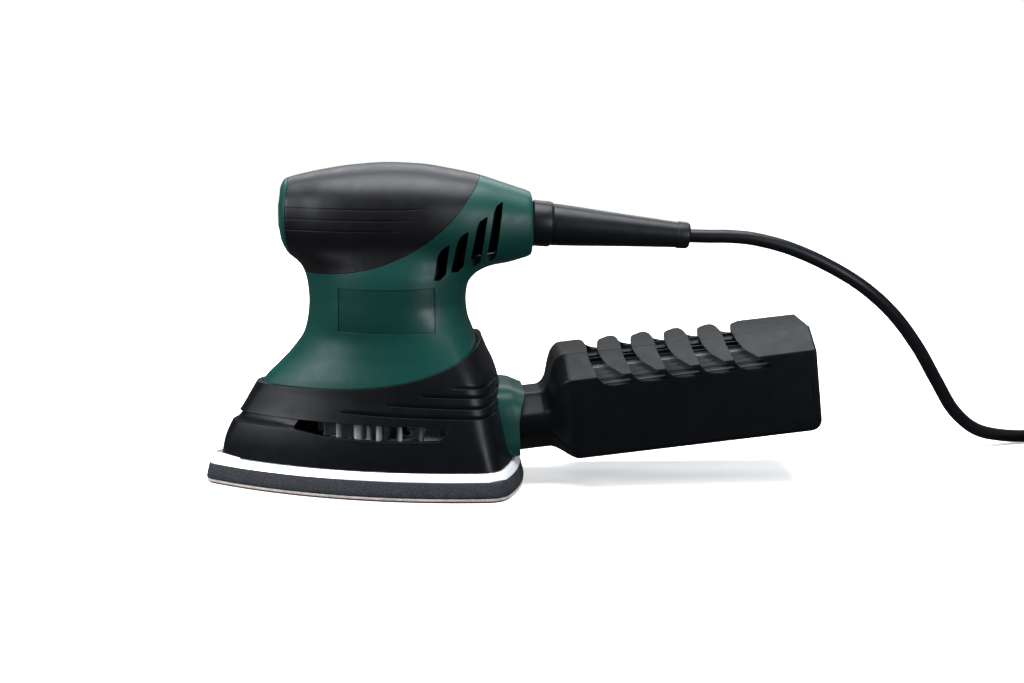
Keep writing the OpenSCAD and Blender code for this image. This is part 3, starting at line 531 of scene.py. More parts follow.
# ---------------------------------------------------------------- the mains cord, its tie and its plug
CORD_D = 6.3
ROUTE = [
    (138.8, 0, 112.3), (148, 0, 112), (158, 0, 111.8), (170, 0, 110.4), (186, 0, 106),
    (204, 0, 98), (222, 2, 87), (238, 7, 73), (252, 14, 56), (264, 22, 38),
    (276, 31, 21), (290, 39, 9.5), (306, 45, 4.6), (324, 48.5, 3.15), (344, 49.5, 3.15), (372, 49.5, 3.15),
]
COIL_AT = (372, 6)
COIL_OUTER, COIL_INNER = 43.5, 30.45
LAYERS, LAYER_TURNS, CLIMB_TURNS, LAYER_Z = 4, 2.05, 0.35, 6.35
TAIL = [
    (415.5, 6, 22.2), (415.5, -4, 21.9), (415.5, -14, 20.6), (415.5, -24, 18.2), (415.5, -34, 15.2),
    (415.5, -43, 13.4), (415.5, -50, 13.05),
]


def coil_points():
    """Layers of about two turns each, in and out by turns, climbing a cord's width between layers"""
    points = []
    turn = 0.0
    for layer in range(LAYERS):
        near, far = (COIL_OUTER, COIL_INNER) if layer % 2 == 0 else (COIL_INNER, COIL_OUTER)
        z = CORD_D / 2 + layer * LAYER_Z
        steps = int(LAYER_TURNS * 48)
        for i in range(steps + 1):
            t = i / steps
            points.append((turn + t * LAYER_TURNS, near + (far - near) * t, z))
        turn += LAYER_TURNS
        if layer < LAYERS - 1:
            for i in range(1, 16):
                t = i / 16
                rise = t * t * (3 - 2 * t)
                points.append((turn + t * CLIMB_TURNS, far, z + LAYER_Z * rise))
            turn += CLIMB_TURNS
    out = []
    for at, radius, z in points:
        a = math.pi / 2 - math.tau * at
        out.append((COIL_AT[0] + radius * math.cos(a), COIL_AT[1] + radius * math.sin(a), z))
    return out


cord_line = np.concatenate([smooth(ROUTE, 8)[:-1], coil_points()[:-1], smooth(TAIL, 6)])
cord_curve = bpy.data.curves.new("mains_cord", "CURVE")
cord_curve.dimensions = "3D"
cord_curve.bevel_depth = CORD_D / 2 * MM
cord_curve.bevel_resolution = 5
cord_curve.use_fill_caps = True
spline = cord_curve.splines.new("POLY")
spline.points.add(len(cord_line) - 1)
spline.points.foreach_set("co", np.concatenate([cord_line * MM, np.ones((len(cord_line), 1))], 1).ravel())
cord = add(bpy.data.objects.new("mains_cord", cord_curve))
piece(cord, "mains_cord", "cord", "housing", ("cord_tube", "cord_coil", "cord_tail"))

PLUG_AT = np.array(TAIL[-1])


def plug_place(along, across, up):
    return (PLUG_AT[0] + across, PLUG_AT[1] - along, PLUG_AT[2] + up)


def oval(half_w, half_h, power, n=72):
    a = np.arange(n) * math.tau / n
    sign = lambda v: np.sign(v) * np.abs(v) ** (2 / power)
    return np.stack([half_w * sign(np.cos(a)), half_h * sign(np.sin(a))], 1)


# along, half width, half height, squareness
PLUG = [
    (0, 5.4, 5.4, 2), (0.6, 6.3, 6.3, 2), (5, 6.6, 6.6, 2), (8, 8.4, 7.4, 2.1), (13, 12.6, 9.4, 2.3),
    (16.5, 14.6, 10.6, 2.5), (17.4, 15.6, 11.4, 2.6), (24, 15.1, 10.8, 2.7), (31, 15.6, 11.2, 2.8),
    (35, 17.2, 12.4, 2.9), (39, 17.7, 13, 3), (41.2, 17.6, 12.9, 3), (42, 17, 12.3, 3),
]
PLUG_L = PLUG[-1][0]
plug_at = np.concatenate([np.linspace(0, 0.6, 4), np.linspace(1, 41.2, 70), np.linspace(41.4, PLUG_L, 4)])
plug = loft("plug", [
    [plug_place(along, x, z) for x, z in oval(half_w, half_h, power)]
    for along, half_w, half_h, power in sections(PLUG, plug_at)
])
for k in range(5):
    for side in (-1, 1):
        groove = rod("groove", plug_place(20.5 + 2.6 * k, side * 17.2, -9), (0, 0, 1), 2.1, 18, 20)
        boolean(plug, groove)
RING_PITCH, RING_R = 1.7, 6.75
for k in range(4):
    along = 1.9 + RING_PITCH * k
    wire = [
        (along + 0.45 * math.cos(b), RING_R + 0.55 * math.sin(b)) for b in np.arange(10) * math.tau / 10
    ]
    boolean(plug, lathe("ring", wire, lambda p: plug_place(*p), 48, closed=True))
piece(plug, "plug", "cord", "housing", ("plug_body",))

# A round pin's profile, and its distance from the plug's middle
PIN = [(0, 2.4), (17.4, 2.4), (18.3, 2.1), (18.85, 1.4), (19, 0.7)]
PIN_ACROSS = 9.5
pins = None
for side in (-1, 1):
    pin = lathe("pin", PIN, lambda p: plug_place(PLUG_L + p[0], side * PIN_ACROSS + p[1], p[2]), 40)
    pins = boolean(pins, pin, "UNION") if pins else pin
piece(pins, "plug_contacts", "nickel", "housing", ("plug_pins",))

# A soft strap round the coil's section, at one side: its inner face, then its outer face
TIE_ANGLE, TIE_W = math.radians(215), 12
tie_out = np.array([math.cos(TIE_ANGLE), math.sin(TIE_ANGLE)])
tie_along = np.array([-math.sin(TIE_ANGLE), math.cos(TIE_ANGLE)])
tie_mid = (COIL_OUTER + COIL_INNER) / 2
tie_half_w, tie_half_h = (COIL_OUTER - COIL_INNER) / 2 + CORD_D / 2 + 0.1, LAYERS * LAYER_Z / 2 + 0.05
tie_rings = []
for wide, high, edge in ((0, 0, -1), (0, 0, 1), (1.0, 0.85, 1), (1.0, 0.85, -1)):
    ring = []
    for x, z in oval(tie_half_w + wide, tie_half_h + high, 5, 64):
        at = COIL_AT + (tie_mid + x) * tie_out + edge * TIE_W / 2 * tie_along
        ring.append((*at, max(0.05, z + LAYERS * LAYER_Z / 2 + 0.1)))
    tie_rings.append(ring)
tie = loft("cord_tie", tie_rings, closed=True)
piece(tie, "cord_tie", "rubber", "housing")

# ---------------------------------------------------------------- strain relief
BOOT_AT = np.array([65.6, 0, 119])
BOOT_TILT = math.radians(5.2)
boot_back = np.array([math.cos(BOOT_TILT), 0, -math.sin(BOOT_TILT)])
boot_up = np.array([math.sin(BOOT_TILT), 0, math.cos(BOOT_TILT)])


def boot_place(p):
    return BOOT_AT + p[0] * boot_back + np.array([0, p[1], 0]) + p[2] * boot_up


BOOT = [
    (-10, 0.6), (-9.8, 5.6), (-6.5, 5.8), (-6.4, 9), (-3.6, 9), (-3.5, 6.4), (0.05, 6.4), (0.1, 10.1),
    (0.5, 10.5), (8.2, 10.4), (9.1, 10.0), (9.6, 9.5), (10.4, 9.6), (12, 9.55), (21, 9.0), (32, 8.2),
    (42, 7.5), (54, 6.75),
    (64, 6.1), (67.4, 5.9), (68, 6.25), (71.4, 6.15), (72.6, 5.9), (73.3, 5.3), (73.5, 4.4), (73.5, 0.5),
]
boot = lathe("boot", BOOT, boot_place, 64)
piece(boot, "cord_boot", "cord", "housing", ("strain_relief",))

# ---------------------------------------------------------------- the housing's shape
# Rows of the skirt and column: z, front, rear, half width, tip radius, corner radius, widest x, rear radius
SKIRT = [
    (13.1, -77.7, 57.5, 46.0, 7.5, 10, 38, 105), (20, -76.3, 55.6, 45.2, 8, 10, 36, 105),
    (28, -73.0, 54.0, 44.0, 9, 11, 34, 100), (36, -67.5, 52.6, 42.6, 10, 12, 31, 95),
    (44, -62.8, 51.1, 40.8, 11.5, 13, 28, 90), (50, -59.0, 49.8, 39.6, 13, 14, 25, 85),
    (56, -52.9, 47.8, 38.0, 15, 15, 21, 80), (62, -47.2, 44.9, 36.4, 17, 16, 16, 75),
    (71, -41.2, 41.4, 34.8, 19, 18, 9, 68),
]
SKIRT_T, SHELL_T, GRIP_T = 2.4, 3.2, 1.2
COLUMN = [inset(s, SKIRT_T + 0.4) for s in SKIRT if s[0] >= 44] + [
    (78, -36.8, 36.2, 31.7, 18, 17, 4, 60), (85, -36.2, 35.5, 31.4, 18.5, 18, 2, 58),
    (92, -36.7, 36.4, 31.3, 18.5, 18, 2, 58), (97, -37.7, 38.6, 31.0, 17, 15, 2, 54),
    (102, -39.6, 42.0, 29.8, 14, 11, 1, 44), (107, -43.0, 43.0, 27.0, 11, 9, 0, 38),
    (113, -39.0, 39.0, 21.0, 10, 9, 0, 38),
]
# The domed cap and the head, as one row of sections: x, top, bottom, half width
HEAD = [
    (-49.7, 124.4, 123.4, 0.8), (-49.45, 129.6, 118.7, 6.0), (-48.9, 133.6, 114.9, 10.4),
    (-47.9, 137.2, 111.7, 14.4), (-46.6, 139.5, 109.5, 17.0), (-45.2, 140.4, 108.5, 17.9),
    (-43.6, 140.9, 107.9, 18.5), (-38, 142.3, 105.7, 20.6), (-29, 144.1, 103.1, 24.4),
    (-15, 146.1, 101.0, 28.2), (0, 147.0, 100.0, 30), (15, 146.3, 99.6, 29.4),
    (30, 143.8, 99.4, 27.0), (41, 141.4, 99.6, 23.9), (52, 137.8, 100.7, 20.2), (60, 135.1, 102.6, 17.4),
    (64.2, 133.6, 104.0, 16.0), (65.2, 133.0, 104.6, 15.5), (65.6, 132.0, 105.8, 14.6),
]
HEAD_POWER = 2.3
# Heights safely under and over the head, for the tools that cut it
HEAD_UNDER, HEAD_OVER = 92, 165
SKIRT_SEAM = [(-62, 47.4), (-15, 47.4), (20, 49.4), (43, 68.8)]
GRIP_SEAM = [(-42, 98.2), (9, 99.5), (26, 116.5), (43.0, 143)]
STEP = 1.0
FIELD_X, FIELD_Y, FIELD_Z = (-65.0, 69.0), (0.0, 41.0), (42.0, 152.0)
FILLET = 9.0


def distance_2d(points, line):
    """Signed distance from (along, out) points to a half outline that ends on out = 0, negative inside"""
    a, b = line[:-1], line[1:]
    ab = b - a
    ap = points[:, None, :] - a[None]
    t = np.clip((ap * ab).sum(2) / np.maximum((ab**2).sum(1), 1e-12), 0, 1)
    near = np.linalg.norm(ap - t[..., None] * ab, axis=2).min(1)
    along = points[:, None, 0]
    spans = (along >= np.minimum(a[:, 0], b[:, 0])) & (along < np.maximum(a[:, 0], b[:, 0]))
    rise = np.where(np.abs(ab[:, 0]) > 1e-9, ab[:, 1] / np.where(ab[:, 0] == 0, 1, ab[:, 0]), 0)
    beyond = spans & (a[:, 1] + ap[..., 0] * rise > points[:, None, 1])
    return np.where(beyond.sum(1) % 2 == 1, -near, near)


def field():
    """The housing's outside as a distance-like field on a grid: column and head, with a fillet between"""
    xs, half, zs = (np.arange(low, high + STEP, STEP) for low, high in (FIELD_X, FIELD_Y, FIELD_Z))
    column = np.full((len(xs), len(half), len(zs)), 99.0)
    flat = np.stack(np.meshgrid(xs, half, indexing="ij"), -1).reshape(-1, 2)
    low, high = COLUMN[0][0], COLUMN[-1][0]
    for k, z in enumerate(zs):
        row = sections(COLUMN, [min(max(z, low), high)])[0]
        d = distance_2d(flat, half_iron(row, (6, 22, 8, 8)))
        over = max(low - z, z - high)
        column[:, :, k] = (np.maximum(d, over) if over > 0 else d).reshape(len(xs), -1)
    head = np.full_like(column, 99.0)
    flat = np.stack(np.meshgrid(half, zs, indexing="ij"), -1).reshape(-1, 2)[:, ::-1]
    angles = np.linspace(0, math.pi, 61)
    round_z, round_y = (np.sign(v) * np.abs(v) ** (2 / HEAD_POWER) for v in (np.cos(angles), np.sin(angles)))
    for i, x in enumerate(xs):
        x0 = min(max(x, HEAD[0][0]), HEAD[-1][0])
        _, top, bottom, wide = sections(HEAD, [x0])[0]
        line = np.stack([(top + bottom) / 2 + (top - bottom) / 2 * round_z, wide * round_y], 1)
        d = distance_2d(flat, line)
        over = max(HEAD[0][0] - x, x - HEAD[-1][0])
        d = np.hypot(np.maximum(d, 0), over) if over > 0 else np.maximum(d, over)
        head[i] = d.reshape(len(half), -1)
    blend = np.maximum(FILLET - np.abs(column - head), 0) / FILLET
    both = np.minimum(column, head) - blend**2 * FILLET / 4
    return np.concatenate([both[:, :0:-1], both], 1), np.array([xs[0], -half[-1], zs[0]])


def surface_net(values, origin, step, level):
    """A closed quad mesh where values cross level, its points then pulled onto the crossing"""
    f = values - level
    inside = f < 0
    n = np.array(f.shape) - 1
    corners = list(np.ndindex(2, 2, 2))
    part = lambda grid, c: grid[c[0]:c[0] + n[0], c[1]:c[1] + n[1], c[2]:c[2] + n[2]]
    count = sum(part(inside, c).astype(int) for c in corners)
    active = (count > 0) & (count < 8)
    index = np.full(active.shape, -1)
    index[active] = np.arange(active.sum())
    where = np.argwhere(active)
    total, hits = np.zeros((len(where), 3)), np.zeros(len(where))
    for a in corners:
        for axis in range(3):
            if a[axis]:
                continue
            b = list(a)
            b[axis] = 1
            fa, fb = part(f, a)[active], part(f, tuple(b))[active]
            cross = (fa < 0) != (fb < 0)
            t = np.where(cross, fa / np.where(cross, fa - fb, 1), 0)
            spot = np.array(a, float)[None] + t[:, None] * np.eye(3)[axis]
            total += np.where(cross[:, None], spot, 0)
            hits += cross
    points = where + total / hits[:, None]
    quads = []
    for axis in range(3):
        u, v = (axis + 1) % 3, (axis + 2) % 3
        lo = [slice(None)] * 3
        hi = [slice(None)] * 3
        lo[axis], hi[axis] = slice(0, -1), slice(1, None)
        change = inside[tuple(lo)] != inside[tuple(hi)]
        cells_at = np.argwhere(change)
        ends = cells_at[:, [u, v]]
        cells_at = cells_at[((ends > 0) & (ends < n[[u, v]])).all(1)]
        ring = []
        for du, dv in ((-1, -1), (0, -1), (0, 0), (-1, 0)):
            c = cells_at.copy()
            c[:, [u, v]] += (du, dv)
            ring.append(index[tuple(c.T)])
        quad = np.stack(ring, 1)
        flip = ~inside[tuple(cells_at.T)]
        quad[flip] = quad[flip][:, ::-1]
        quads.append(quad)
    quads = np.concatenate(quads)
    slope = np.stack(np.gradient(f), -1)
    for _ in range(4):
        value, grad = sample(f, points), sample(slope, points)
        points = points - np.clip(value / np.maximum((grad**2).sum(1), 0.05), -0.4, 0.4)[:, None] * grad * 0.9
    return points * step + origin, quads


def sample(grid, at):
    """Trilinear values of a grid at fractional places"""
    top = np.array(grid.shape[:3]) - 1.001
    at = np.clip(at, 0, top)
    base = at.astype(int)
    w = at - base
    out = 0
    for corner in np.ndindex(2, 2, 2):
        weight = np.where(corner, w, 1 - w).prod(1)
        value = grid[tuple((base + corner).T)]
        out = out + (value * weight if value.ndim == 1 else value * weight[:, None])
    return out


values, origin = field()


def body_mesh(name, level, coarse=1):
    grid = values[::coarse, ::coarse, ::coarse]
    points, quads = surface_net(grid, origin, STEP * coarse, level)
    obj = mesh_object(name, points, quads)
    outward(obj)
    return obj


def seam_prism(name, seam, front, rear, top):
    """Everything above a seam, up to top"""
    curve = bezier(seam, 60)
    edge_line = [(front, curve[0][1]), *(p for p in curve if front < p[0] < rear), (rear, curve[-1][1])]
    return prism_y(name, edge_line + [(rear, top), (front, top)], -70, 70)


def grip_region(name, gap):
    """In front of and above the grip's seam, up to the cap; gap widens it on all sides"""
    curve = bezier(GRIP_SEAM, 60)
    step = np.gradient(curve, axis=0)
    normal = np.stack([step[:, 1], -step[:, 0]], 1) / np.linalg.norm(step, axis=1)[:, None]
    curve = curve + normal * gap
    front = cap_edge(-gap)
    behind = [p for p in curve if p[0] > front[0][0]]
    return prism_y(name, [*behind, (curve[-1][0] + 3, HEAD_OVER), *front[::-1]], -60, 60)


def cap_edge(shift):
    """The line between cap and grip from the side: upright, bowed a little to the front"""
    z = np.linspace(HEAD_UNDER, HEAD_OVER, 40)
    bow = 2.2 * np.clip(1 - ((z - 124) / 21) ** 2, 0, 1)
    return np.stack([-43.6 - bow + shift, z], 1)


# ---------------------------------------------------------------- housing shells, grips, cap and panel
SCREWS = [(-14, 139.4), (39, 133.6), (-30.9, 72), (30.7, 84)]
SWITCH_Z = 123
VENTS = [
    [(20.1, 96.4), (22.7, 96.2), (25.7, 98.9), (27.4, 112.7), (23.5, 109.9), (21.8, 106.8)],
    [(28, 99.5), (31.1, 99.3), (33.6, 101.7), (35.8, 118.4), (32.5, 116.4), (30.8, 113.5)],
    [(36.4, 101.5), (39.5, 101.5), (41.4, 103.7), (44.5, 124.8), (40.9, 122.6), (39.5, 119.7)],
    [(43.7, 103.2), (46.2, 103.2), (48.4, 105.4), (51.7, 130.9), (48.7, 129), (47.3, 126.1)],
]
GRIP_LINES = [(128.7, 16.6), (123.9, 11.3), (119.0, 4.6)]
PANEL_X, PANEL_Z = (-22.6, 20.6), (73.4, 93.2)

SEAM_GAP = 0.16

outer = body_mesh("outer", 0)
inner = body_mesh("inner", -SHELL_T, 2)
bed = body_mesh("bed", -GRIP_T)
skin = body_mesh("skin", -0.5)

# Grip
grip = boolean(copy_of(outer, "grip"), grip_region("region", 0.0), "INTERSECT")
boolean(grip, bed, keep=True)
for z, end in GRIP_LINES:
    upper = [(end, z + 0.08), (end - 9, z + 0.34), (-60, z + 0.38)]
    strip = [(x, 2 * z - up) for x, up in upper[::-1]] + upper
    for side in (-1, 1):
        line = prism_y("line", strip, side * 9, side * 60)
        boolean(line, skin, keep=True)
        boolean(grip, line)

# Shells
shell = copy_of(outer, "shell")
recess = grip_region("recess", SEAM_GAP)
boolean(recess, bed, keep=True)
boolean(shell, recess)
# A black sheet inside each shell, a little behind the vents: painted shade that makes the vents look dark
# inside and stops the backdrop showing through them
SHADE_SHEET_DEPTH, SHADE_SHEET_T = 5.6, 1.2
BEHIND_VENTS = [(17, 94), (44, 97), (56, 103), (58, 136), (42, 136), (17, 112)]
shade_sheets = boolean(body_mesh("shade_sheets", -SHADE_SHEET_DEPTH, 2), body_mesh("deep", -SHADE_SHEET_DEPTH - SHADE_SHEET_T, 2))
boolean(shade_sheets, prism_y("near_vents", BEHIND_VENTS, -60, 60), "INTERSECT")
# Painted shade: one black sheet for each side, where the inside of the head is only in shade
for side, name in ((-1, "vent_shade_sheet_left"), (1, "vent_shade_sheet_right")):
    shade_sheet = copy_of(shade_sheets, name)
    a, b = sorted((side * 4, side * 60))
    boolean(shade_sheet, box_mesh("half", (0, a, 80), (80, b, 150)), "INTERSECT")
    piece(shade_sheet, name, "black", "housing")
drop(shade_sheets)
in_front = prism_y("in_front", [*cap_edge(-SEAM_GAP), (-70, HEAD_OVER), (-70, HEAD_UNDER)], -60, 60)
boolean(shell, in_front, keep=True)
boolean(shell, inner, keep=True)
boolean(shell, rod("floor_hole", (0, 0, 40), (0, 0, 1), 27.8, 10, 96))
for corners in VENTS:
    shape = rounded(corners, [0.5, 1.2, 2.2, 0.5, 1.6, 2.0])
    for side in (-1, 1):
        boolean(shell, prism_y("vent", shape, side * 13, side * 60))


def panel_block(name, gap):
    """The side panel's outline, gap inside its recess, through the near shell"""
    low, high = (PANEL_X[0] + gap, -60, PANEL_Z[0] + gap), (PANEL_X[1] - gap, -15, PANEL_Z[1] - gap)
    return box_mesh(name, low, high)


panel_hole = panel_block("panel_hole", 0)
boolean(panel_hole, skin, keep=True)
boolean(shell, panel_hole)

def switch_hole(name, half_w, half_h, radius, to_x):
    """A rounded opening for the rocker, from in front of the cap back to to_x"""
    corners = [(-half_w, -half_h), (half_w, -half_h), (half_w, half_h), (-half_w, half_h)]
    return prism(name, rounded(corners, radius), lambda p, end: (to_x if end else -60, p[0], SWITCH_Z + p[1]))


# Cap
cap = boolean(copy_of(outer, "cap"), in_front, "INTERSECT")
opening = switch_hole("opening", 6.2, 10, 2.2, -36)
boolean(cap, opening, keep=True)
boolean(cap, switch_hole("rim", 8.4, 12.2, 3.4, -48.2))
boolean(shell, opening)
boolean(shell, rod("cord_hole", BOOT_AT - boot_back * 20, boot_back, 6.5, 30))
boolean(shell, rod("cord_seat", BOOT_AT - boot_back * 10.2, boot_back, 9.2, 7))
boolean(shell, rod("boot_seat", BOOT_AT, boot_back, 11, 10))
for x, z in SCREWS:
    for part in (shell, grip):
        boolean(part, rod("hole", (x, 7, z), (0, 1, 0), 2.8, 50, 32))

HALF_GAP = 0.05
for side, word in ((-1, "left"), (1, "right")):
    half = box_mesh("half", (-90, side * 100, 0), (90, side * HALF_GAP, 200))
    one = boolean(copy_of(shell, "one"), half, "INTERSECT", keep=True)
    piece(one, f"shell_{word}", "green", "housing", (f"housing_{word}",), 35)
    one = boolean(copy_of(grip, "one"), half, "INTERSECT")
    piece(one, f"soft_grip_{word}", "grip", "housing", (f"grip_{word}",), 35)
piece(cap, "nose_cap", "green", "housing", ("front_cap",), 35)

panel = panel_block("panel", 0.3)
boolean(panel, body_mesh("panel_top", -0.14), "INTERSECT")
boolean(panel, skin)
piece(panel, "side_panel", "panel", "housing", ("name_plate",), 40)
drop(outer, inner, bed, shell, grip)

# ---------------------------------------------------------------- skirt
ROWS = 140


def skirt_rows(t, low, high, count):
    zs = np.linspace(low, high, count)
    rows = sections([inset(s, t) for s in SKIRT], np.clip(zs, SKIRT[0][0], SKIRT[-1][0]))
    rows[:, 0] = zs
    return rows


def skirt_loft(name, t, low, high):
    return loft(name, [iron_ring(r) for r in skirt_rows(t, low, high, ROWS)])


def skirt_point(i, z):
    """Point i of the skirt's half outline at a height, and its outward normal"""
    line = half_iron(sections(SKIRT, [z])[0])
    i = min(max(i, 1), len(line) - 2)
    along = line[i + 1] - line[i - 1]
    normal = np.array([-along[1], along[0]]) / np.linalg.norm(along)
    return line[i], normal


def ledge(z_at, stations, shape, fade_from=None):
    """A bar along the skirt. shape has (out, up) pairs from the line z_at; it fades in from fade_from"""
    rings = []
    for i, side in stations:
        z = z_at[0][1]
        for _ in range(3):
            p, normal = skirt_point(i, z)
            z = float(np.interp(p[0], [q[0] for q in z_at], [q[1] for q in z_at]))
        strength = 1.0
        if fade_from is not None and i < 60:
            strength = min(max((p[0] - fade_from) / LEDGE_FADE, 0.0), 1.0)
        ring = []
        for out, up in shape:
            q, _ = skirt_point(i, z + up)
            d = out if out > 0 else out * strength
            ring.append((q[0] + normal[0] * d, side * (q[1] + normal[1] * d), z + up))
        rings.append(ring)
    return loft("ledge", rings)


def index_at(x, z):
    """The first point of the half outline at or beyond x on the side"""
    line = half_iron(sections(SKIRT, [z])[0])
    return int(np.argmax(line[:, 0] >= x))


skirt = skirt_loft("skirt", 0, SKIRT[0][0], SKIRT[-1][0])
boolean(skirt, skirt_loft("room", SKIRT_T, 12, 73))
boolean(skirt, seam_prism("over", SKIRT_SEAM, -100, 100, 120))
WINDOW = [(-44, 29.4), (-40.6, 33.8), (26.6, 33.2), (22, 26.9), (-6, 26.3), (-30, 27.2)]
boolean(skirt, prism_y("window", rounded(WINDOW, [0.8, 0.8, 1.0, 1.6, 20, 8]), -70, 70))
LEDGES = [
    [(-23, 38.0), (40.6, 36.1), (45.4, 36.7), (50.1, 37.6)],
    [(-3.4, 42.2), (39.8, 40.4), (49.7, 41.8)],
    [(11.1, 46.3), (43.6, 45.0), (48.8, 45.6)],
    [(26.6, 49.9), (41.8, 49.0), (48.3, 50.0)],
]
LEDGE = [(0.9, 0), (-0.95, 0), (-0.75, 0.35), (-0.25, 1.1), (0.02, 2.1), (0.9, 2.1)]
REAR_INDEX, LEDGE_FADE = 70, 9
for side in (-1, 1):
    for z_at in LEDGES:
        stations = [(i, side) for i in range(index_at(*z_at[0]), REAR_INDEX + 1)]
        boolean(skirt, ledge(z_at, stations, LEDGE, z_at[0][0] - 0.5))
# A groove round the nose, from window to window
CHANNEL = [(0.9, 0), (-1.9, -0.1), (-2.0, -0.8), (-1.6, -3.2), (0.02, -4.6), (0.9, -4.6)]
stop = index_at(-38, 31)
stations = [(i, -1) for i in range(stop, 0, -1)] + [(i, 1) for i in range(1, stop + 1)]
boolean(skirt, ledge([(-72, 34.0), (-40, 33.8)], stations, CHANNEL))

OUTLET_AT = np.array([61.5, 0, 28])
OUTLET_TILT = math.radians(6)
outlet_u = np.array([math.cos(OUTLET_TILT), 0, math.sin(OUTLET_TILT)])
outlet_w = np.array([-math.sin(OUTLET_TILT), 0, math.cos(OUTLET_TILT)])


def outlet(u, v, w):
    return OUTLET_AT + u * outlet_u + np.array([0, v, 0]) + w * outlet_w


def neck_ring(u, t):
    """The neck's outline at u, t inside its surface"""
    v, w, radius = 21 - t, 13.2 - t, 11 - t
    return [outlet(u, *p) for p in rounded([(-v, -w), (-v, w), (v, w), (v, -w)], radius, 10)]


boolean(skirt, loft("duct", [neck_ring(-30, 1.0), neck_ring(-2, 1.0)]))
piece(skirt, "skirt_shell", "black", "housing", ("skirt",), 30)

# ---------------------------------------------------------------- exhaust collar
# Along the outlet, half width, top
COLLAR = [
    (-15, 24.8, 19.6), (-9, 24.3, 18.9), (-5, 23.6, 18.2), (-1.5, 22.9, 16.4), (1.3, 22.6, 14.9),
    (3.4, 22.5, 14.3),
]
COLLAR_EDGE = [(3, 22), (2.6, 17.6), (1, 13), (-1, 8.4), (-2.6, 2), (-3.1, -5), (-3.5, -13), (-3.6, -22)]
COLLAR_LOW = -14.4


def outlet_prism(name, outline):
    """An outline in u and w swept across the whole width"""
    return prism(name, outline, lambda p, end: outlet(p[0], 40 if end else -40, p[1]))


collar_rings = []
for u, half_w, top in sections(COLLAR, np.linspace(-15, 3.4, 40)):
    corners = [(-half_w, COLLAR_LOW), (-half_w, top), (half_w, top), (half_w, COLLAR_LOW)]
    collar_rings.append([outlet(u, *p) for p in rounded(corners, [9, 18, 18, 9], 12)])
collar = loft("collar", collar_rings)
edge_curve = [tuple(p) for p in smooth(COLLAR_EDGE, 6)]
boolean(collar, outlet_prism("behind", edge_curve + [(30, -20), (30, 19)]))
bore = [neck_ring(u, t) for u, t in ((-18, 2.3), (-3.0, 2.3), (-2.8, -0.25), (8, -0.25))]
boolean(collar, loft("bore", bore))
boolean(collar, box_mesh("under", (20, -50, 0), (90, 50, 13.1)))
piece(collar, "outlet_collar", "green", "housing", ("exhaust_collar",), 35)

# ---------------------------------------------------------------- dust box
# The eight corners of its neck and of its full section, across and up
NECK8 = [(-21, -4.2), (-21, 4.2), (-11, 13.2), (11, 13.2), (21, 4.2), (21, -4.2), (11, -13.2), (-11, -13.2)]
BOX8 = [
    (-28, -15.0), (-28, 20.1), (-16, 30.5), (16, 30.5), (28, 20.1), (28, -15.0), (26.2, -16.6), (-26.2, -16.6)
]
SHOULDER_RISE = 1.2
BOX_L = 135.2
SIDE_RAMP = ([-20, 11.2, 12.2, 21.8, 22.8, 140], [0, 0, 0.04, 0.96, 1, 1])
TOP_RAMP = ([-20, 8.4, 11.2, 13.1, 14.7, 17.4, 21.4, 140], [0, 0, 0.086, 0.257, 0.554, 0.869, 1, 1])


def box_ring(u, t):
    """The dust box's outline at u, t inside its surface"""
    side, top = (float(steady(*ramp, [u])[0]) for ramp in (SIDE_RAMP, TOP_RAMP))
    corners = []
    for (nv, nw), (bv, bw) in zip(NECK8, BOX8):
        if bw > 20 and abs(bv) > 20:
            bw += SHOULDER_RISE * min(max((u - 22) / 113, 0), 1)
        k_w = top if bw > 0 else side
        corners.append((nv + (bv - nv) * side, nw + (bw - nw) * k_w))
    corners = np.array(corners)
    middle = np.array([0, corners[:, 1].mean()])
    extent = np.abs(corners - middle).max(0)
    corners = middle + (corners - middle) * (1 - t / extent)
    radius = [6 + (r - 6) * side for r in (1.6, 1.3, 1.3, 1.3, 1.3, 1.6, 1.6, 1.6)]
    return [outlet(u, *p) for p in rounded(corners, radius, 6)]


REAR_ROUND = 1.2
box_us = np.concatenate([
    np.linspace(-7, 8, 6), np.linspace(9, 28, 60), np.linspace(30, BOX_L - REAR_ROUND, 40),
    BOX_L - REAR_ROUND + REAR_ROUND * np.sin(np.linspace(0.15, 1, 8) * math.pi / 2),
])
box_rings = []
for u in box_us:
    past = max(0, u - BOX_L + REAR_ROUND)
    box_rings.append(box_ring(u, REAR_ROUND - math.sqrt(max(0, REAR_ROUND**2 - past**2))))
dust = loft("dust", box_rings)
CORNER_R, BOX_LOW = 6.3, -16.6


def below_corner(wall):
    """What lies outside the wide curve of the lower rear corner, once that is wall further in"""
    bend = [
        (BOX_L - wall - CORNER_R * (1 - math.sin(a)), BOX_LOW + wall + CORNER_R * (1 - math.cos(a)))
        for a in np.linspace(0, 1, 17) * math.pi / 2
    ]
    past, under = BOX_L + 5, BOX_LOW - 5
    return outlet_prism("corner", bend + [(past, BOX_LOW + CORNER_R), (past, under), (bend[0][0], under)])


boolean(dust, below_corner(0))
boolean(dust, outlet_prism("before", [(u + 0.25, w) for u, w in edge_curve] + [(-30, -25), (-30, 25)]))
spigot = loft("spigot", [neck_ring(-14, 3.4), neck_ring(-13.2, 2.7), neck_ring(6, 2.7)])
boolean(dust, spigot, "UNION")
boolean(dust, loft("bore", [neck_ring(-20, 4.6), neck_ring(11, 4.6)]))
BOX_T = 2.0
inside = loft("inside", [box_ring(u, BOX_T) for u in (*np.linspace(10, 28, 20), 60, 100, BOX_L - 2.1)])
boolean(inside, below_corner(BOX_T))
door = copy_of(dust, "door")
boolean(dust, inside, keep=True)
boolean(door, inside)
HINGE = (129.5, -12.2)
SWING_R = 5.35
DOOR_U, DOOR_W = 131.9, 11.3


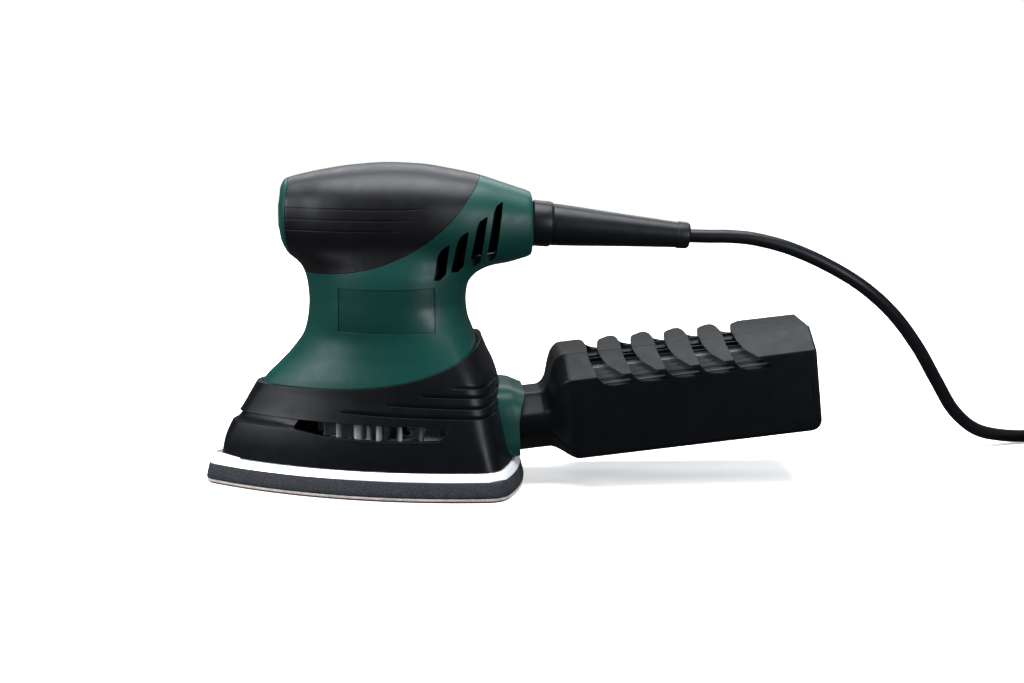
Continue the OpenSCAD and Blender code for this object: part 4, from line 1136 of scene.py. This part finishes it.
def door_outline(gap):
    """The door from the side: a disc round its hinge and everything behind its seam"""
    r, seam, top_r = SWING_R + gap, DOOR_U - gap, 2.6
    disc = arc(np.array(HINGE), r, 1.45 * math.pi, math.acos((seam - HINGE[0]) / r), 40)
    turn = arc(np.array([seam + top_r, DOOR_W + gap - top_r]), top_r, math.pi, math.pi / 2, 8)
    far = 145
    return [tuple(p) for p in (*disc, *turn)] + [(far, DOOR_W + gap), (far, -40), (disc[0][0], -40)]


boolean(dust, outlet_prism("door_gap", door_outline(0.16)))
boolean(door, outlet_prism("door_space", door_outline(0.0)), "INTERSECT")


def outlet_box(name, lo, hi):
    return prism(
        name, [(lo[1], lo[2]), (hi[1], lo[2]), (hi[1], hi[2]), (lo[1], hi[2])],
        lambda p, end: outlet(hi[0] if end else lo[0], *p),
    )


inner_lip = outlet_box("inner_lip", (129, -24, -6), (132, 24, 9.6))
boolean(door, inner_lip, "UNION")
barrel = rod("barrel", outlet(HINGE[0], -10, HINGE[1]), (0, 1, 0), 2.2, 20, 32)
boolean(door, barrel, "UNION")
for v in (-12, 12):
    lug = outlet_prism("lug", [(118, -13.7), (131, -13.7), (131, -9.4), (118, -9.4)])
    boolean(lug, outlet_box("cut", (110, v - 1.4, -20), (140, v + 1.4, 0)), "INTERSECT")
    boolean(dust, lug, "UNION")
    boolean(door, outlet_box("slot", (122, v - 1.8, -18), (131.7, v + 1.8, -6)))
PIN_HALF_L = 25.7
pin_end = outlet(HINGE[0], -PIN_HALF_L, HINGE[1])
for part, pin_r in ((dust, 1.02), (door, 1.05)):
    boolean(part, rod("pin_hole", pin_end, (0, 1, 0), pin_r, 2 * PIN_HALF_L, 24))
# Grooves for a thumb on the door's rear
for k in range(3):
    boolean(door, outlet_box("groove", (134.5, -12, 5.2 - 2.6 * k), (137, 12, 6.1 - 2.6 * k)))
# A slot's three openings: along and up on both sides, along and across on top
NEAR_SLOT = [
    (0.1, 34), (0.05, 31), (0.0, 28.9), (0.5, 26.5), (1.5, 23.4), (2.6, 20.2), (4.9, 17.3), (7.6, 16.0),
    (10.4, 15.6), (14.0, 15.6), (17.6, 16.1), (18.9, 16.5), (17.4, 17.7), (14.4, 20.1), (11.6, 22.1),
    (8.3, 24.3), (6.4, 26.6), (5.2, 28.7), (4.6, 31), (4.5, 34),
]
FAR_SLOT = [
    (0.3, 34), (0.5, 31), (1.1, 29.1), (2.2, 27.3), (3.4, 26.2), (5, 25.2), (7.9, 24.1), (11, 23.6),
    (14, 23.8), (15.8, 24.9), (14.6, 26.8), (13.0, 29), (12.3, 31), (12.2, 34),
]
TOP_SLOT = [
    (0.1, -16.5), (0.6, -9), (0.9, -2), (0.9, 5), (0.7, 11), (0.3, 17.5), (12.3, 17.5), (11.9, 14.6),
    (10.3, 12.9), (8.5, 10.4), (7.2, 6.4), (6.3, 1), (5.5, -6), (4.8, -12), (4.5, -16.5),
]
SLOTS, SLOT_FROM, SLOT_PITCH = 5, 32, 15.7
for k in range(SLOTS):
    start = SLOT_FROM + SLOT_PITCH * k
    for outline, v0, v1 in ((NEAR_SLOT, -40, -16.2), (FAR_SLOT, 16.2, 40)):
        curve = closed_curve(outline, 5)
        boolean(dust, prism("slot", curve, lambda p, end: outlet(p[0] + start, v1 if end else v0, p[1])))
    curve = closed_curve(TOP_SLOT, 5)
    boolean(dust, prism("slot", curve, lambda p, end: outlet(p[0] + start, p[1], 40 if end else 26)))
piece(dust, "dust_box_body", "box", "dust_box", ("dust_box_shell",), 25)
piece(door, "rear_door", "box", "dust_door", ("dust_door",), 25)

# Folded paper along the box under its lid, and the frame that holds it
crest_half = [(16.8, 16.8), (18.3, 25.5), (25.3, 19.2), (25.3, 12.6)]
crest = np.array([(-v, w) for v, w in crest_half[::-1]] + crest_half)
run = np.concatenate([[0], np.cumsum(np.linalg.norm(np.diff(crest, axis=0), axis=1))])
FOLD_PITCH, FOLD_DEPTH, PAPER_T = 2.1, 1.9, 0.45
folds = int(run[-1] / FOLD_PITCH) * 2
at = np.linspace(0, run[-1], folds + 1)
middle_line = np.stack([np.interp(at, run, crest[:, 0]), np.interp(at, run, crest[:, 1])], 1)
slope = np.gradient(middle_line, axis=0)
inwards = np.stack([slope[:, 1], -slope[:, 0]], 1) / np.linalg.norm(slope, axis=1)[:, None]
folded = middle_line + inwards * (FOLD_DEPTH * (np.arange(folds + 1) % 2))[:, None]
paper_outline = np.concatenate([folded, (folded + inwards * PAPER_T)[::-1]])
paper = loft("paper", [[outlet(u, *p) for p in paper_outline] for u in np.linspace(31.2, 119.8, 12)])
piece(paper, "folded_filter", "paper", "dust_box", ("filter_pleats",), 20)
# A dark frame: a roof over the paper's middle, which is painted shade that keeps the box dark under the top
# slots, a strip along the lid's near edge, rims at both ends and below
# The roof is painted shade: a dark plate where the box's inside is only in shade
holder_and_shade_roof = outlet_box("holder_and_shade_roof", (29, -16.2, 17.4), (122, 16.2, 18.4))
RIM = [(-24.9, 11), (-24.9, 18.6), (-18.6, 25.2), (18.6, 25.2), (24.9, 18.6), (24.9, 11)]
for rim_u in (29, 120.2):
    boolean(holder_and_shade_roof, prism("rim", RIM, lambda p, end: outlet(rim_u + 1.8 * end, *p)), "UNION")
boolean(holder_and_shade_roof, outlet_box("strip", (29.5, -13.4, 26.9), (121, -9.2, 27.8)), "UNION")
for post_u in np.linspace(29.5, 119.5, 7):
    boolean(holder_and_shade_roof, outlet_box("post", (post_u, -13.0, 18), (post_u + 1.2, -9.6, 26.7)), "UNION")
for side in (-1, 1):
    rail = sorted((side * 22.5, side * 25.7))
    boolean(holder_and_shade_roof, outlet_box("rail", (29.2, rail[0], 10.6), (121.8, rail[1], 12.4)), "UNION")
piece(holder_and_shade_roof, "filter_holder_and_shade_roof", "box", "dust_box", ("filter_frame",), 30)

# ---------------------------------------------------------------- plate, foam, pile and sheet
PLATE = (0, -85, 62, 50, 8, 11, 42, 110)
HOLES = [(-67, 0), (-34, 15), (-34, -15), (-10, 27), (-10, -27), (16, 36), (16, -36), (47, 16), (47, -16)]
FEET = [(-50, 0), (33.5, 27.5), (33.5, -27.5)]
ORBIT, HOLE_R = 0.7, 4


def slab(name, profile, counts=IRON_COUNTS):
    """An iron-shaped layer: (inset, z) pairs from its underside's edge round to its top's edge"""
    obj = loft(name, [iron_ring([z, *inset(PLATE, t)[1:]], counts) for t, z in profile])
    low, high = profile[0][1] - 1, profile[-1][1] + 1
    for x, y in HOLES:
        boolean(obj, rod("hole", (x, y, low), (0, 0, 1), HOLE_R, high - low, 40))
    return obj


def foot_holes(obj, low, radius, sides):
    for x, y in FEET:
        boolean(obj, rod("foot_hole", (x, y, low), (0, 0, 1), radius, 12, sides))


def edge(t, z0, z1, r, n):
    """A layer's edge profile with both rims rounded by r"""
    a = np.linspace(0, math.pi / 2, n + 1)
    low = [(t + r * (1 - math.sin(b)), z0 + r * (1 - math.cos(b))) for b in a]
    high = [(t + r * (1 - math.cos(b)), z1 - r * (1 - math.sin(b))) for b in a]
    return low + high


base = slab("base", [(1.9, 9.02), (1.75, 9.2), (3.3, 12.4), (3.55, 12.6)], (10, 40, 1, 14))
# A lip round the plate's nose that rises from the sides to the tip, where each outline starts
LIP_RISE, LIP_FROM, LIP_RUN = 1.7, -64, 14
lip_lines = [whole(half_iron(inset(PLATE, t))) for t in (2.9, 3.35, 4.1, 4.7, 5.2)]
lip_rings = []
for i in range(-14, 15):
    rise = LIP_RISE * min(max((LIP_FROM - lip_lines[0][i][0]) / LIP_RUN, 0), 1)
    heights = (12.0, 12.45 + rise * 0.55, 12.5 + rise, 12.5 + rise * 0.95, 12.0)
    lip_rings.append([(*line[i], z) for line, z in zip(lip_lines, heights)])
boolean(base, loft("lip", lip_rings), "UNION")
boolean(base, rod("hub", (ORBIT, 0, 12), (0, 0, 1), 15, 9.6, 64), "UNION")
boolean(base, rod("seat", (ORBIT, 0, 13.2), (0, 0, 1), 11, 10, 64))
boolean(base, rod("bore", (ORBIT, 0, 5), (0, 0, 1), 7.5, 12, 48))
foot_holes(base, 5, 2.1, 24)
piece(base, "base_plate_metal", "plate", "pad", ("base_plate",), 30)
foam = slab("foam", [(0.6, 2.02), (0.1, 2.3), (0.0, 2.8), (0.35, 4.6), (0.9, 6.8), (1.35, 8.5), (1.6, 8.98)])
boolean(foam, rod("bore", (ORBIT, 0, 0), (0, 0, 1), 8.5, 12, 48))
foot_holes(foam, 1, 4.2, 32)
piece(foam, "foam_layer", "foam", "pad", ("foam_pad",), 60)
pile = slab("pile", edge(0.15, 0.82, 2.0, 0.35, 3))
piece(pile, "loop_pile", "hook", "pad", ("hook_layer",), 60)
sheet = slab("sheet", [(1.3, 0.0), (1.1, 0.1), (0.7, 0.5), (0.5, 0.8)])
piece(sheet, "grit_sheet", "grit", "pad", ("sanding_sheet",), 60)

# ---------------------------------------------------------------- rocker
ROCKER_X, TILT = -41, math.radians(-6)
rocker_rows = []
rocker_outline = closed_curve([
    (-4.6, -8.3), (-3.9, -4.2), (-3.5, 0), (-3.9, 4.2), (-4.6, 8.3), (-4.2, 8.9), (-3.2, 8.9), (-0.4, 6.2),
    (2, 3), (2, -3), (-0.4, -6.2), (-3.2, -8.9), (-4.2, -8.9),
], 5)
for y, shrink in ((-5.5, 0.35), (-5.35, 0.12), (-5.0, 0), (5.0, 0), (5.35, 0.12), (5.5, 0.35)):
    ring = []
    for x, z in rocker_outline:
        x, z = x + (shrink if x < 0 else -shrink), z * (1 - shrink / 9)
        ring.append((
            ROCKER_X + x * math.cos(TILT) + z * math.sin(TILT), y,
            SWITCH_Z - x * math.sin(TILT) + z * math.cos(TILT),
        ))
    rocker_rows.append(ring)
rocker = loft("rocker", rocker_rows)
boolean(rocker, rod("pin", (ROCKER_X, -7.5, SWITCH_Z), (0, 1, 0), 1, 15, 24), "UNION")
for k in (-2, -1, 1, 2):
    boolean(rocker, rod("dent", (-45.6, -3.6, SWITCH_Z + 2.4 * k), (0, 1, 0), 0.75, 7.2, 16))
piece(rocker, "rocker_key", "black", "rocker", ("rocker",), 35)

# ---------------------------------------------------------------- CAD nodes that stay, with their finishes
KEPT = {
    "steel": [
        "housing_screws", "skirt_screws", "clamp_screws", "pad_screw", "foot_inserts", "foot_screws",
        "brush_springs", "door_pin",
    ],
    "ground": ["lower_bearing", "upper_bearing", "shaft", "eccentric_bearing", "bearing_clip"],
    "black": ["switch_body", "bearing_bridge", "cord_clamp"],
    "rubber": ["bearing_bush", "flex_feet", "spigot_seal"],
    "lamination": ["stator_core", "armature_core"],
    "winding": ["field_coils", "armature_winding"],
    "phenolic": ["brush_carrier"],
    "brass": ["brush_holders"],
    "copper": ["commutator"],
    "carbon": ["carbon_brushes"],
    "capacitor": ["suppressor"],
    "ivory": ["terminal_block"],
    "fan": ["fan"],
    "zinc": ["eccentric"],
}
for material, names in KEPT.items():
    for name in names:
        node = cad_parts[name]
        node.data.materials.clear()
        node.data.materials.append(M[material])

# ---------------------------------------------------------------- floor
FLOOR = 950
corners = [(-FLOOR, -FLOOR, 0), (FLOOR, -FLOOR, 0), (FLOOR, FLOOR, 0), (-FLOOR, FLOOR, 0)]
floor = mesh_object("floor", corners, [(0, 1, 2, 3)])
floor.data.materials.append(floor_mat)
floor.visible_glossy = False
floor.visible_diffuse = False
